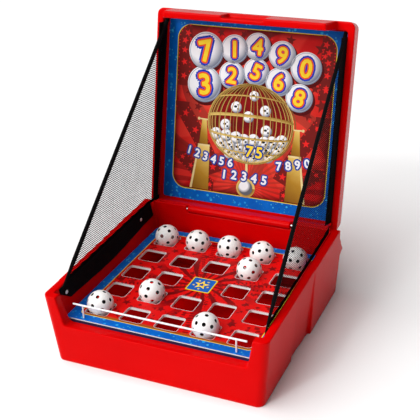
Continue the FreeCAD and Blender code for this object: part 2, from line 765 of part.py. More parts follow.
def balls():
    """Nine balls, each seated on the four edges of its hole, turned a different way."""
    skin, tool = ball_pattern()
    radius = cell("ball_diameter") / 2
    half = cell("hole_side") / 2
    lift = math.sqrt(radius.value ** 2 - half.value ** 2) + 0.05
    for number, (row, column) in enumerate(BALL_CELLS, start=1):
        ball = cut(f"ball_{number}", skin, tool)
        x = (column - 3) * cell("cell_pitch")
        y = (3 - row) * cell("cell_pitch") + cell("board_shift")
        turn = (math.sin(number), math.cos(2.0 * number), 0.6)
        place(ball, x, y, cell("board_top") + lift, turn, 40.0 + 37.0 * number)


# ---------------------------------------------------------------- nets, tapes and rivets

def wall_lean():
    return math.degrees(math.atan(WALL_SLOPE.value))


def net_pieces(side, name):
    """One side net with its front binding, and the tape that holds it to base and lid."""
    skin = cell("net_thick")
    start = cell("net_half") if side > 0 else -cell("net_half") - skin
    lean = math.radians(DIMENSIONS["lean"])
    along, across = math.cos(lean), math.sin(lean)

    def lid_point(depth, height):
        """A point of the open lid, from its depth and height about the hinge axis."""
        return (cell("axis_back") + depth * along + height * across,
                cell("axis_height") + height * along - depth * across)

    front = (-cell("net_front"), brim_at(-cell("net_front")) + 0.5)
    top = lid_point(as_length(10.0), cell("net_top"))
    low = lid_point(as_length(10.0), cell("net_rear_low"))
    slant = math.atan2(top[1].value - front[1].value, top[0].value - front[0].value)
    width = cell("binding_width")
    step = (width * math.sin(slant), -(width * math.cos(slant)))
    inner_top = (top[0] + step[0] * 0.4, top[1] + step[1])
    inner_front = (front[0] + width * (1.0 / math.sin(slant)), front[1])
    net = new_body(f"net_{name}")
    shaped(net, "Pad", "YZ_Plane", start, [[inner_front, low, inner_top]], skin)
    binding = new_body(f"net_binding_{name}")
    shaped(binding, "Pad", "YZ_Plane", start, [[front, inner_front, inner_top, top]], skin)


def base_tape(side, name):
    """The wide tape along the base's inner wall, just under the brim."""
    thick = cell("hem_thick")
    foot = cell("board_top")
    rear, front = cell("hem_rear"), -cell("hem_front")
    gap = 1.5
    points = [(front, brim_at(front) - gap - cell("hem_width") - foot),
              (rear, brim_at(rear) - gap - cell("hem_width") - foot),
              (rear, brim_at(rear) - gap - foot), (front, brim_at(front) - gap - foot)]
    body = new_body(f"base_tape_{name}")
    sketch = new_sketch(body, "YZ_Plane", -thick if side > 0 else 0.0)
    add_outline(sketch, points)
    upright = math.cos(math.radians(wall_lean()))
    for y, z in base_rivet_spots():
        add_circle(sketch, y, (z - foot) / upright, cell("rivet_shank") + 0.45)
    extrude(body, "Pad", sketch, thick)
    spot = cell("well_half") - 0.25
    place(body, side * spot, 0.0, foot, (0, 1, 0), side * wall_lean())


def lid_tape(side, name):
    """The tape up the inner side wall of the lid's tray, standing a little way out of it."""
    thick = cell("hem_thick")
    body = new_body(f"lid_tape_{name}")
    start = cell("tray_half") - 0.1 - thick if side > 0 else 0.1 - cell("tray_half")
    sketch = new_sketch(body, "YZ_Plane", start)
    low, high = cell("net_rear_low") + 3.0, cell("net_top") + 2.0
    front, rear = cell("lid_tape_front"), cell("lid_tape_rear")
    add_outline(sketch, [(front, low), (cell("lid_tape_rear_low"), low), (rear, high - 30.0),
                         (rear, high), (front, high)])
    for depth, height in lid_rivet_spots():
        add_circle(sketch, depth, height, cell("rivet_shank") + 0.3)
    extrude(body, "Pad", sketch, thick)
    on_lid(body)


def rivet(x, y, z, side):
    """A domed head against the tape and a shank into the wall, along X."""
    head = cylinder("rivet_head", cell("rivet_head"), cell("rivet_head_thick"))
    shank = cylinder("rivet_shank", cell("rivet_shank"), cell("rivet_length"))
    place(head, x if side > 0 else x - cell("rivet_head_thick"), y, z, (0, 1, 0), 90.0)
    place(shank, x if side > 0 else x - cell("rivet_length"), y, z, (0, 1, 0), 90.0)
    fused = doc.addObject("Part::MultiFuse", "rivet")
    fused.Shapes = [head, shank]
    return fused


def rivet_group(label, rivets):
    group = doc.addObject("Part::Compound", label)
    group.Links = rivets
    group.Label = label
    return group


def rivets():
    on_base = []
    for side in (-1, 1):
        for y, z in base_rivet_spots():
            face = well_half_at(z) - 0.5 * cell("rivet_head") * WALL_SLOPE - 3.1
            on_base.append(rivet(side * face, y, z, side))
    rivet_group("base_rivets", on_base)
    on_tray = []
    for side in (-1, 1):
        for depth, height in lid_rivet_spots():
            face = cell("tray_half") - cell("hem_thick") - cell("rivet_head_thick") - 0.15
            on_tray.append(rivet(side * face, depth, height, side))
    on_lid(rivet_group("lid_rivets", on_tray))


# ---------------------------------------------------------------- build, check and write

base_shell()
lid_shell()
hinge_pins()
board_pieces()
backdrop()
ball_rail()
balls()
for side, name in ((-1, "left"), (1, "right")):
    net_pieces(side, name)
    base_tape(side, name)
    lid_tape(side, name)
rivets()

NODES = (["base_shell", "lid_shell", "hinge_pin_left", "hinge_pin_right", "game_board",
          "board_print", "board_skirt", "free_space_label", "backdrop_panel", "backdrop_print",
          "ball_rail", "base_rivets", "lid_rivets"]
         + [f"ball_{number}" for number in range(1, len(BALL_CELLS) + 1)]
         + [f"{kind}_{name}" for kind in ("net", "net_binding", "base_tape", "lid_tape")
            for name in ("left", "right")])

doc.recompute()
for feature in doc.Objects:
    if any(word in feature.State for word in ("Invalid", "Error")):
        raise RuntimeError(f"{feature.Label} failed: {feature.State}")

os.makedirs("parts", exist_ok=True)
for node in NODES:
    feature = doc.getObjectsByLabel(node)[0]
    shape = feature.Shape
    if shape.isNull() or not shape.isValid() or not shape.Solids:
        raise RuntimeError(f"{node} has no valid solid")
    shape.exportStep(f"parts/{node}.step")
    box = shape.BoundBox
    print(f"{node:20s} solids {len(shape.Solids)} volume {shape.Volume:10.0f} mm3  "
          f"x {box.XMin:7.1f} {box.XMax:7.1f}  y {box.YMin:7.1f} {box.YMax:7.1f}  "
          f"z {box.ZMin:7.1f} {box.ZMax:7.1f}")
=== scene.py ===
"""The looks of a table-top ball toss game in a hinged red case.  Units are metres.

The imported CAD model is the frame.  The blow-moulded shells are rebuilt with soft edges, the side
nets are taut single sheets opened by their material, and the prints are thin flat layers of ink."""
import json
import random
from math import asin, atan2, cos, hypot, pi, radians, sin, sqrt

import bmesh
import bpy
from mathutils import Matrix, Vector


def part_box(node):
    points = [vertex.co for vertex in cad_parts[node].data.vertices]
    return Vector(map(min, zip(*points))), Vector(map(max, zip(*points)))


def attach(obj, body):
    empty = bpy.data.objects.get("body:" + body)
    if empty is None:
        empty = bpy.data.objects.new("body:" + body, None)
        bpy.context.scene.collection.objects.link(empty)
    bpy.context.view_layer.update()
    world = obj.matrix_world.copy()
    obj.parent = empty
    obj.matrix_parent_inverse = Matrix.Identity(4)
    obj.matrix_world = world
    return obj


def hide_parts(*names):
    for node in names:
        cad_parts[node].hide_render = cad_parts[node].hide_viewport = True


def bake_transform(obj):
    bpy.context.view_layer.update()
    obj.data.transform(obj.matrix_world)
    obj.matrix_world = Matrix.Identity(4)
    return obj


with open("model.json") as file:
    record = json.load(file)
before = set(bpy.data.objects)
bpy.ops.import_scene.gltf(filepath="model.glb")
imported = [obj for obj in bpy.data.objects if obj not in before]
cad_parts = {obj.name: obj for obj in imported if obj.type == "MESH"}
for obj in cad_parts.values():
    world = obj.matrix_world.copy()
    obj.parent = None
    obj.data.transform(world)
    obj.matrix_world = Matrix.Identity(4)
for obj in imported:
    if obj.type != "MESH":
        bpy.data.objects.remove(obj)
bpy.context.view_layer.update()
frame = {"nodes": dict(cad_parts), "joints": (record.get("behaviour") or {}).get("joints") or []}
NODES = frame["nodes"]
MM = 0.001
SIDES = {"left": -1, "right": 1}


# ---- the frame's own measures

LID_JOINT = frame["joints"][0]
HINGE = Vector(LID_JOINT["pos_m"])
SWING = radians(-LID_JOINT["range_deg"][0])      # how far the lid turns from open to shut


def corners(node):
    """The low and high corners of a node's box."""
    low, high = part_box(node)
    return Vector(low), Vector(high)


def face_normal(node):
    """The normal of a flat node's largest face, turned towards the player."""
    faces = NODES[node].data.polygons
    normal = max(faces, key=lambda face: face.area).normal.copy()
    return normal if normal.y < 0 else -normal


LID_OUT = face_normal("backdrop_print")                 # out of the lid's tray
LID_UP = LID_OUT.cross(Vector((1, 0, 0))).normalized()
LID_UP = LID_UP if LID_UP.z > 0 else -LID_UP
LID_LEAN = atan2(LID_UP.y, LID_UP.z)
BRIM_SLOPE = SWING - pi / 2 - LID_LEAN
def lid_point(x, up, depth):
    """A point of the open lid: across, up from the hinge axis, and back from it."""
    return Vector((x, HINGE.y, HINGE.z)) + LID_UP * up - LID_OUT * depth


PRINT_DEPTH = min((HINGE - vertex.co).dot(LID_OUT)
                  for vertex in NODES["backdrop_print"].data.vertices)
BOARD_LOW, BOARD_HIGH = corners("board_print")
BOARD_TOP = BOARD_HIGH.z
BOARD_CENTRE = (BOARD_LOW + BOARD_HIGH) / 2


# ---- materials

def srgb(red, green, blue):
    """A colour given as 0 to 255 in sRGB, as linear RGBA."""
    def linear(value):
        value /= 255.0
        return value / 12.92 if value <= 0.04045 else ((value + 0.055) / 1.055) ** 2.4
    return (linear(red), linear(green), linear(blue), 1.0)


class Graph:
    """A procedural material under construction.  Colours are sRGB, from 0 to 255."""

    def __init__(self, name, roughness=0.4, **sockets):
        self.material = bpy.data.materials.new(name)
        self.material.use_nodes = True
        self.tree = self.material.node_tree
        self.shader = self.tree.nodes["Principled BSDF"]
        self.set("Roughness", roughness)
        for socket, value in sockets.items():
            self.set(socket.replace("_", " "), value)

    def feed(self, socket, value):
        """Link an input to another node's output, or give it a colour or a number."""
        if isinstance(value, bpy.types.NodeSocket):
            self.tree.links.new(value, socket)
        elif isinstance(value, tuple):
            socket.default_value = srgb(*value)
        else:
            socket.default_value = value

    def add(self, kind, inputs=(), **settings):
        """A new node of the kind, with its inputs fed by name or by number."""
        node = self.tree.nodes.new("ShaderNode" + kind)
        for setting, value in settings.items():
            setattr(node, setting, value)
        for socket, value in dict(inputs).items():
            self.feed(node.inputs[socket], value)
        return node

    def set(self, socket, value):
        """Feed an input of the shader."""
        self.feed(self.shader.inputs[socket], value)

    def colour(self, value):
        """Feed the base colour."""
        self.set("Base Color", value)

    def math(self, operation, *values, clamp=False):
        """The result of a maths node."""
        return self.add("Math", enumerate(values), operation=operation, use_clamp=clamp).outputs[0]

    def plus(self, first, second):
        return self.math("ADD", first, second)

    def minus(self, first, second):
        return self.math("SUBTRACT", first, second)

    def times(self, first, second):
        return self.math("MULTIPLY", first, second)

    def length(self, *parts):
        """The length of the vector with these parts."""
        total = 0.0
        for part in parts:
            total = self.math("MULTIPLY_ADD", part, part, total)
        return self.math("SQRT", total)

    def wave(self, value, length):
        """A sine wave along the value, from -1 to 1."""
        return self.math("SINE", self.times(value, 2 * pi / length))

    def mix(self, factor, first, second):
        """The first colour where the factor is 0, the second where it is 1."""
        return self.add("Mix", {0: factor, 6: first, 7: second}, data_type="RGBA").outputs[2]

    def place(self, kind="Object"):
        """Where a point of the surface lies."""
        return self.add("TexCoord").outputs[kind]

    def parts(self, vector):
        """The x, y and z of a vector."""
        return tuple(self.add("SeparateXYZ", {0: vector}).outputs)

    def join(self, *parts):
        """The vector with these parts."""
        return self.add("CombineXYZ", enumerate(parts)).outputs[0]

    def noise(self, size, detail=2.0, rough=0.5, at=None):
        """Noise whose features are about size metres across, from 0 to 1."""
        return self.add("TexNoise", {"Vector": at or self.place(), "Scale": 1.0 / size,
                                     "Detail": detail, "Roughness": rough}).outputs[0]

    def cells(self, vector, size, output="Distance"):
        """Cells about size metres across: the distance to their points, or a colour for each."""
        return self.add("TexVoronoi", {"Vector": vector, "Scale": 1.0 / size}).outputs[output]

    def ramp(self, value, *stops):
        """A colour ramp: each stop is (position, colour)."""
        node = self.add("ValToRGB", {0: value})
        elements = node.color_ramp.elements
        while len(elements) < len(stops):
            elements.new(1.0)
        for element, (position, colour) in zip(elements, stops):
            element.position = position
            element.color = srgb(*colour)
        return node.outputs[0]

    def step(self, value, edge, soft):
        """0 below the edge and 1 above it, over a soft width."""
        ends = {"Value": value, "From Min": edge - soft / 2, "From Max": edge + soft / 2}
        return self.add("MapRange", ends, interpolation_type="SMOOTHSTEP").outputs[0]

    def below(self, value, edge, soft):
        """1 below the edge and 0 above it, over a soft width."""
        return self.step(self.times(value, -1.0), -edge, soft)

    def add_range(self, value, low, high):
        """The 0 to 1 value, spread between low and high."""
        return self.math("MULTIPLY_ADD", value, high - low, low)

    def bump(self, height, strength, distance):
        """Raise the surface by a height."""
        node = self.add("Bump", {"Height": height, "Strength": strength, "Distance": distance})
        self.set("Normal", node.outputs[0])

    def mottle(self, first, second, size):
        """Base colour that drifts between two close colours."""
        self.colour(self.mix(self.noise(size), first, second))


def red_plastic():
    """Glossy blow-moulded plastic with a faint orange peel."""
    g = Graph("case_red", Specular_IOR_Level=0.035)
    g.colour(g.mix(g.noise(0.09, 3.0), (203, 0, 2), (217, 2, 3)))
    cloud = g.noise(0.02, 4.0, 0.6)
    g.set("Roughness", g.add_range(cloud, 0.16, 0.27))
    g.bump(g.plus(g.noise(0.0028, 2.0), g.times(cloud, 0.9)), 0.16, 0.0006)
    return g.material


def plain_plastic(name, first, second, roughness):
    """Moulded plastic with a faint drift of colour and a fine grain."""
    g = Graph(name)
    g.mottle(first, second, 0.02)
    g.set("Roughness", g.add_range(g.noise(0.006, 3.0), roughness - 0.05, roughness + 0.07))
    g.bump(g.noise(0.0015, 3.0), 0.12, 0.0002)
    return g.material


def ball_plastic():
    """White outside.  The inside and the hole walls are dark, to stand in for the shaded hollow."""
    g = Graph("ball_white")
    from_middle = [g.minus(axis, 0.5) for axis in g.parts(g.place("Generated"))]
    outside = g.step(g.length(*from_middle), 0.487, 0.012)
    white = g.mix(g.noise(0.02), (250, 249, 247), (238, 237, 234))
    g.colour(g.mix(outside, (20, 19, 20), white))
    g.set("Roughness", g.add_range(g.noise(0.006, 3.0), 0.3, 0.42))
    g.bump(g.noise(0.0015, 3.0), 0.12, 0.0002)
    return g.material


def metal(name, first, second, roughness, metallic=1.0):
    """Bright metal, lightly brushed along X."""
    g = Graph(name, Metallic=metallic)
    x, y, z = g.parts(g.place())
    brushed = g.join(g.times(x, 0.15), y, z)
    g.colour(g.mix(g.noise(0.0008, 3.0, at=brushed), first, second))
    g.set("Roughness", g.add_range(g.noise(0.002, 2.0), roughness - 0.06, roughness + 0.1))
    g.bump(g.noise(0.0005, 2.0, at=brushed), 0.1, 0.0001)
    return g.material


def woven_black(name, size):
    """Black woven tape: crossed ribs, with a slight sheen."""
    g = Graph(name, roughness=0.8, Specular_IOR_Level=0.08)
    u, v, _ = g.parts(g.place("UV"))
    weave = g.times(g.wave(u, size), g.wave(v, size))
    tone = g.math("MULTIPLY_ADD", weave, 0.18, g.noise(0.012, 3.0), clamp=True)
    g.colour(g.mix(tone, (2, 2, 3), (12, 12, 14)))
    g.bump(weave, 0.5, 0.0003)
    return g.material


def net_black(name, hem):
    """Fine black knitted net: rows of stitches round small openings, closed along a hem."""
    g = Graph(name, roughness=0.9, Specular_IOR_Level=0.02)
    u, v, _ = g.parts(g.place("UV"))
    slack = g.add_range(g.noise(0.03, 2.0), -0.1, 0.1)
    rows = g.wave(g.math("MULTIPLY_ADD", u, -0.12, v), 0.0032)
    stitches = g.wave(g.math("MULTIPLY_ADD", v, 0.3, u), 0.0021)
    threads = g.math("MAXIMUM", g.step(g.plus(rows, slack), 0.25, 0.5),
                     g.step(g.plus(stitches, slack), 0.72, 0.3))
    closed = g.math("MAXIMUM", threads, g.below(v, hem, 0.0006))
    g.set("Alpha", closed)
    g.colour(g.mix(g.noise(0.004), (3, 3, 4), (16, 16, 18)))
    g.bump(closed, 0.4, 0.0002)
    return g.material


def inside_distance(g, x, y, half_x, half_y, radius):
    """Signed distance to a round-cornered rectangle, negative inside it."""
    over_x = g.minus(g.math("ABSOLUTE", x), half_x - radius)
    over_y = g.minus(g.math("ABSOLUTE", y), half_y - radius)
    outside = g.length(g.math("MAXIMUM", over_x, 0.0), g.math("MAXIMUM", over_y, 0.0))
    inside = g.math("MINIMUM", g.math("MAXIMUM", over_x, over_y), 0.0)
    return g.minus(g.plus(outside, inside), radius)


def blue_confetti(g, flat):
    """Bright blue with scattered paler and darker cut-paper shapes."""
    colour = g.mix(g.noise(0.03, 3.0, at=flat), (0, 66, 156), (0, 122, 226))
    for size, limit, light, dark in ((0.0085, 0.28, (60, 190, 240), (8, 142, 226)),
                                     (0.0052, 0.24, (2, 44, 124), (86, 204, 236))):
        pick, tint, _ = g.parts(g.cells(flat, size, "Color"))
        chip = g.times(g.below(g.cells(flat, size), limit, 0.08), g.step(pick, 0.5, 0.02))
        colour = g.mix(g.times(chip, 0.8), colour, g.mix(tint, dark, light))
    return colour


# Half width, half height and corner radius of a picture inside its border, in metres.
BOARD_FRAME = (0.1375, 0.1375, 0.009)
BACKDROP_FRAME = (0.1370, 0.1393, 0.024)
YELLOW_LINE = 0.0006                         # half the width of the line round a picture


def print_graph(name, roughness=0.4):
    """The start of a printed material, with hardly any gloss."""
    return Graph(name, roughness=roughness, Specular_IOR_Level=0.1)


def framed_print(name, centre, up, picture_frame, ground):
    """A gloss print: blue confetti border, a thin yellow line, and a ground drawn inside it."""
    g = print_graph(name, 0.42)
    parts = g.parts(g.place())
    axis = 2 if up.z > up.y else 1
    across = g.minus(parts[0], centre.x)
    rise = g.math("DIVIDE", g.minus(parts[axis], centre[axis]), up[axis])
    flat = g.join(across, rise, 0.0)
    distance = inside_distance(g, across, rise, *picture_frame)
    colour = g.mix(g.step(distance, 0.0, 0.0006), ground(g, across, rise, flat),
                   blue_confetti(g, flat))
    off_line = g.step(g.math("ABSOLUTE", distance), YELLOW_LINE, 0.0004)
    g.colour(g.mix(off_line, (238, 214, 48), colour))
    g.bump(g.noise(0.0011, 2.0, at=flat), 0.04, 0.0002)
    return g.material


def rays(g, across, rise, centre_y, count, wobble=0.0):
    """A fan of rays round a centre: a wave from -1 to 1, and the distance from the centre."""
    dy = g.minus(rise, centre_y)
    reach = g.length(across, dy)
    bent = g.plus(g.math("ARCTAN2", dy, across), g.times(reach, wobble))
    return g.math("SINE", g.times(bent, count)), reach


def board_ground(g, across, rise, flat):
    """Red with a dark burst from the middle, film strips between the holes and a worn look."""
    red = g.mix(g.noise(0.04, 3.0, at=flat), (200, 6, 8), (224, 16, 14))
    fan, reach = rays(g, across, rise, 0.0, 17.0, 3.0)
    ragged = g.plus(fan, g.times(g.noise(0.006, 3.0, at=flat), 1.3))
    burst = g.times(g.step(ragged, 0.95, 0.25), g.below(reach, 0.085, 0.05))
    spokes, _ = rays(g, across, rise, 0.0, 46.0)
    lattice = g.times(g.step(g.wave(reach, 0.0062), 0.25, 0.3), g.step(spokes, 0.1, 0.3))
    lane, _ = rays(g, across, rise, 0.0, 4.0, 2.2)
    strip = g.times(lattice, g.step(lane, 0.55, 0.15))
    blotch = g.times(g.step(g.noise(0.011, 2.0, at=flat), 0.60, 0.05), 0.8)
    dark = g.math("MAXIMUM", g.math("MAXIMUM", burst, strip), blotch)
    colour = g.mix(g.times(dark, 0.85), red, (84, 2, 6))
    tan = g.mix(g.noise(0.02, 2.0, at=flat), (140, 56, 16), (176, 92, 30))
    return g.mix(g.below(rise, -0.1315, 0.005), colour, tan)


def backdrop_ground(g, across, rise, flat):
    """Red with broad brown film bands and rays round the middle, darker towards the frame."""
    fan, reach = rays(g, across, rise, -0.020, 12.0)
    red = g.mix(g.noise(0.05, 3.0, at=flat), (188, 8, 12), (226, 24, 24))
    lit = g.mix(g.times(g.step(fan, 0.1, 0.5), 0.45), red, (236, 62, 50))
    shadow, _ = rays(g, across, rise, -0.020, 7.0, 9.0)
    brown = g.mix(g.times(g.step(shadow, 0.45, 0.12), 0.62), lit, (86, 20, 20))
    burst, _ = rays(g, across, rise, -0.118, 38.0)
    low = g.times(g.below(rise, -0.062, 0.03), g.step(burst, 0.2, 0.3))
    dark = g.mix(g.times(low, 0.55), brown, (104, 4, 10))
    warm = g.mix(g.times(g.below(reach, 0.115, 0.06), 0.28), dark, (238, 92, 66))
    rim = g.step(inside_distance(g, across, rise, *BACKDROP_FRAME), -0.006, 0.012)
    return g.mix(g.times(rim, 0.75), warm, (52, 4, 8))


def ink(name, first, second, size=0.01):
    """A printed ink with slight unevenness."""
    g = print_graph(name, 0.35)
    g.mottle(first, second, size)
    g.bump(g.noise(0.001, 2.0), 0.04, 0.0001)
    return g.material


def drawn_ball(name, light, shade, core):
    """A ball as a print shows it: lit from the upper left, dark at the rim."""
    g = print_graph(name)
    u, v, _ = g.parts(g.place("UV"))
    reach = g.length(g.plus(u, 0.3), g.minus(v, 0.32))
    streak = g.times(g.noise(0.012, 3.0), 0.06)
    tone = g.math("MULTIPLY_ADD", reach, core, streak)
    g.colour(g.ramp(tone, (0.0, light), (0.5, light), (0.82, shade), (1.0, shade)))
    return g.material


def gilded(name, slope, grain, *stops):
    """Gilded metal as a print shows it: its tone runs over the shape, with some grain."""
    g = print_graph(name)
    u, v, _ = g.parts(g.place("UV"))
    size, strength = grain
    tone = g.math("MULTIPLY_ADD", u, slope[0], g.times(g.noise(size, 3.0), strength))
    g.colour(g.ramp(g.math("MULTIPLY_ADD", v, slope[1], tone), *stops))
    return g.material


def drawn_gold(name, light, dark):
    """Gilded wire, with a highlight down one side."""
    return gilded(name, (0.45, -0.25), (0.02, 0.15),
                  (0.0, light), (0.45, dark), (0.75, light), (1.0, dark))


def stand_gold():
    """Gilded sheet, darker towards its foot and its left edge."""
    return gilded("ink_stand_gold", (0.2, 0.7), (0.015, 0.12), (0.0, (116, 72, 12)),
                  (0.45, (176, 130, 40)), (0.8, (226, 190, 96)), (1.0, (240, 216, 140)))


def floor_white():
    """The matt white floor."""
    g = Graph("floor_white", roughness=0.9)
    g.mottle((247, 247, 247), (249.3, 249.3, 249.3), 0.5)
    return g.material


# ---- building pieces

def new_object(name, data):
    """An object of the scene that shows the data."""
    thing = bpy.data.objects.new(name, data)
    bpy.context.scene.collection.objects.link(thing)
    return thing


def final_mesh(thing):
    """The mesh of an object, with its modifiers applied."""
    graph = bpy.context.evaluated_depsgraph_get()
    return bpy.data.meshes.new_from_object(thing.evaluated_get(graph))


def make_piece(name, vertices, faces, material, body=None, uvs=None, smooth=False):
    """A mesh piece.  uvs gives one (u, v) for each vertex."""
    mesh = bpy.data.meshes.new(name)
    mesh.from_pydata([tuple(v) for v in vertices], [], faces)
    mesh.validate()
    mesh.materials.append(material)
    if uvs is not None:
        layer = mesh.uv_layers.new(name="UVMap")
        for loop in mesh.loops:
            layer.data[loop.index].uv = uvs[loop.vertex_index]
    for face in mesh.polygons:
        face.use_smooth = smooth
    piece = new_object(name, mesh)
    if body:
        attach(piece, body)
    return piece


def grid_faces(rows, wide):
    """The faces between the rows of points of a grid that is wide points across."""
    return [(a, a + 1, a + wide + 1, a + wide)
            for row in range(rows) for a in range(row * wide, (row + 1) * wide - 1)]


def full_turn(steps, closed=False):
    """Even angles round a circle, with the first one again at the end if it is closed."""
    return [2 * pi * step / steps for step in range(steps + closed)]


def around(x, y, reach, angle, squash=1.0):
    """The point at an angle and a distance from another."""
    return x + reach * cos(angle), y + reach * squash * sin(angle)


def dress(material, *nodes):
    """Give CAD nodes one material in every slot."""
    for node in nodes:
        piece = NODES[node]
        if not piece.material_slots:
            piece.data.materials.append(material)
        for material_slot in piece.material_slots:
            material_slot.material = material


def islands(bm):
    """The mesh's connected groups of faces."""
    left = set(bm.faces)
    groups = []
    while left:
        group = [left.pop()]
        for face in group:
            near = {other for edge in face.edges for other in edge.link_faces} & left
            left -= near
            group += near
        groups.append(group)
    return groups


BORE_REACH = 2.0 * MM        # everything this near a rivet's axis is wall of its bore


def outer_skin(node, rivet_axes):
    """The node's mesh with its rivet bores plugged and the sealed space inside dropped."""
    bm = bmesh.new()
    bm.from_mesh(NODES[node].data)
    bmesh.ops.remove_doubles(bm, verts=bm.verts, dist=1e-6)
    bore = [face for face in bm.faces if in_bore(face, rivet_axes)]
    bmesh.ops.delete(bm, geom=bore, context="FACES")
    rims = [edge for edge in bm.edges if edge.is_boundary]
    bmesh.ops.holes_fill(bm, edges=rims, sides=0)
    groups = islands(bm)
    outside = max(groups, key=lambda group: max(v.co.x for face in group for v in face.verts))
    inner = [face for group in groups if group is not outside for face in group]
    bmesh.ops.delete(bm, geom=inner, context="FACES")
    bmesh.ops.recalc_face_normals(bm, faces=bm.faces)
    return bm


def in_bore(face, axes):
    """True where all of a face's corners lie round one of the axes along X."""
    return any(all(hypot(v.co.y - axis.y, v.co.z - axis.z) < BORE_REACH
                   for v in face.verts) for axis in axes)


SHELL_GRAIN = 1.4 * MM       # the voxels that the skin is rebuilt from
SHELL_ROUNDS = 5             # rounds of smoothing, which soften the edges
SHELL_KEEP = 0.35            # the share of the triangles kept


def soft_shell(name, node, rivet_axes, material, body):
    """A blow-moulded shell: the CAD node's outer skin with every edge softened."""
    bm = outer_skin(node, rivet_axes)
    mesh = bpy.data.meshes.new(name)
    bm.to_mesh(mesh)
    bm.free()
    piece = new_object(name, mesh)
    for kind, settings in (("REMESH", {"mode": "VOXEL", "voxel_size": SHELL_GRAIN}),
                           ("SMOOTH", {"factor": 0.5, "iterations": SHELL_ROUNDS}),
                           ("DECIMATE", {"ratio": SHELL_KEEP})):
        modifier = piece.modifiers.new(kind, kind)
        for setting, value in settings.items():
            setattr(modifier, setting, value)
    final = final_mesh(piece)
    piece.modifiers.clear()
    piece.data = final
    final.materials.clear()
    final.materials.append(material)
    for face in final.polygons:
        face.use_smooth = True
    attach(piece, body)
    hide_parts(node)


def rivet_boxes(node, axis, split):
    """Each rivet's low and high corners, told apart by its side and by its place on the axis."""
    groups = {}
    for vertex in NODES[node].data.vertices:
        key = (vertex.co.x > 0, vertex.co[axis] > split)
        groups.setdefault(key, []).append(vertex.co.copy())
    return [(Vector([min(p[i] for p in points) for i in range(3)]),
             Vector([max(p[i] for p in points) for i in range(3)])) for points in groups.values()]


RIVETS = {"base": rivet_boxes("base_rivets", 1, 0.0),
          "lid": rivet_boxes("lid_rivets", 2, HINGE.z + 0.18)}
# A rivet head's radius and height in millimetres, from its crown out to its skirt and its shank.
RIVET_PROFILE = [(0.0, 1.45), (1.0, 1.38), (1.9, 1.12), (2.6, 0.7), (3.0, 0.3), (3.25, 0.12),
                 (3.3, 0.0), (1.5, 0.0), (1.5, -4.8), (0.0, -4.8)]
RIVET_TURNS = 28
RIVET_SINK = 1.3 * MM        # from the CAD rivet's inner end to the skirt


def rivet_head(low, high):
    """The points of one head, ring by ring, turned about X and facing the inside of the case."""
    side = 1 if low.x > 0 else -1
    centre = (low + high) / 2
    skirt = (low.x if side > 0 else high.x) + side * RIVET_SINK
    return [Vector((skirt - side * height * MM, *around(centre.y, centre.z, radius * MM, angle)))
            for radius, height in RIVET_PROFILE for angle in full_turn(RIVET_TURNS)]


def rivet_heads(name, node, material, body):
    """All the domed rivet heads of a body, as one piece."""
    vertices, faces = [], []
    for low, high in RIVETS[body]:
        first = len(vertices)
        vertices += rivet_head(low, high)
        for ring in range(len(RIVET_PROFILE) - 1):
            start = first + ring * RIVET_TURNS
            for turn in range(RIVET_TURNS):
                a, b = start + turn, start + (turn + 1) % RIVET_TURNS
                faces.append((a, b, b + RIVET_TURNS, a + RIVET_TURNS))
    piece = make_piece(name, vertices, faces, material, body, smooth=True)
    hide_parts(node)


# ---- nets and tapes

NET_BASE_X = 160.2 * MM      # where the net leaves the tape on the base's wall
NET_LID_X = 152.6 * MM       # where it meets the tape on the lid
BASE_LINE = 4.2 * MM         # the base edge of the net, above the hinge axis, square to the brim
LID_LINE = 10.0 * MM         # the lid edge of the net, behind the hinge axis
BRIM_WAY = Vector((0, -cos(BRIM_SLOPE), -sin(BRIM_SLOPE)))
BRIM_UP = Vector((0, -sin(BRIM_SLOPE), cos(BRIM_SLOPE)))


def fold_share(point):
    """How far round from the base tape to the lid tape a point of the net lies, 0 to 1."""
    arm = Vector((0, point.y - HINGE.y, point.z - HINGE.z))
    radius = max(arm.length, 12.0 * MM)
    angle = atan2(arm.dot(BRIM_UP), arm.dot(BRIM_WAY))
    start = asin(BASE_LINE / radius)
    end = SWING + asin(min(1.0, LID_LINE / radius))
    return min(1.0, max(0.0, (angle - start) / (end - start)))


def net_x(point, side):
    """Across position that carries the fold share, so that the net folds evenly."""
    share = fold_share(point)
    step = 0.5 - sin(asin(1.0 - 2.0 * share) / 3.0)
    return side * (NET_BASE_X + (NET_LID_X - NET_BASE_X) * step)


def point_grid(rows, columns, point):
    """Rows of points, from a function of the shares along and across the grid."""
    return [[point(row / rows, column / columns) for column in range(columns + 1)]
            for row in range(rows + 1)]


def base_edge(reach):
    """A point of the net's base edge, by its distance from the hinge along the brim."""
    return Vector((0, HINGE.y, HINGE.z)) + BRIM_WAY * reach + BRIM_UP * BASE_LINE


def lid_edge(reach):
    """A point of the net's lid edge, by its distance from the hinge up the lid."""
    return lid_point(0.0, reach, LID_LINE)


NET_FRONT = HINGE.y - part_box("net_binding_left")[0][1]
NET_TOP = 309.0 * MM             # from the hinge up the lid to the net's top corner
NET_CORNER = 13.0 * MM           # from the hinge to the net's rear corner
BINDING = (4.2 * MM, 3.0 * MM)   # half sizes of the rolled front edge, in the net and across it


def net_outline():
    """The net's corners in the YZ plane: front, rear and top."""
    return base_edge(NET_FRONT), base_edge(NET_CORNER), lid_edge(NET_TOP)


def crossing(start, way, a, b):
    """Where the line from start along way meets the line from a to b, as a distance along way."""
    edge = b - a
    normal = Vector((0, -edge.z, edge.y))
    return (a - start).dot(normal) / way.dot(normal)


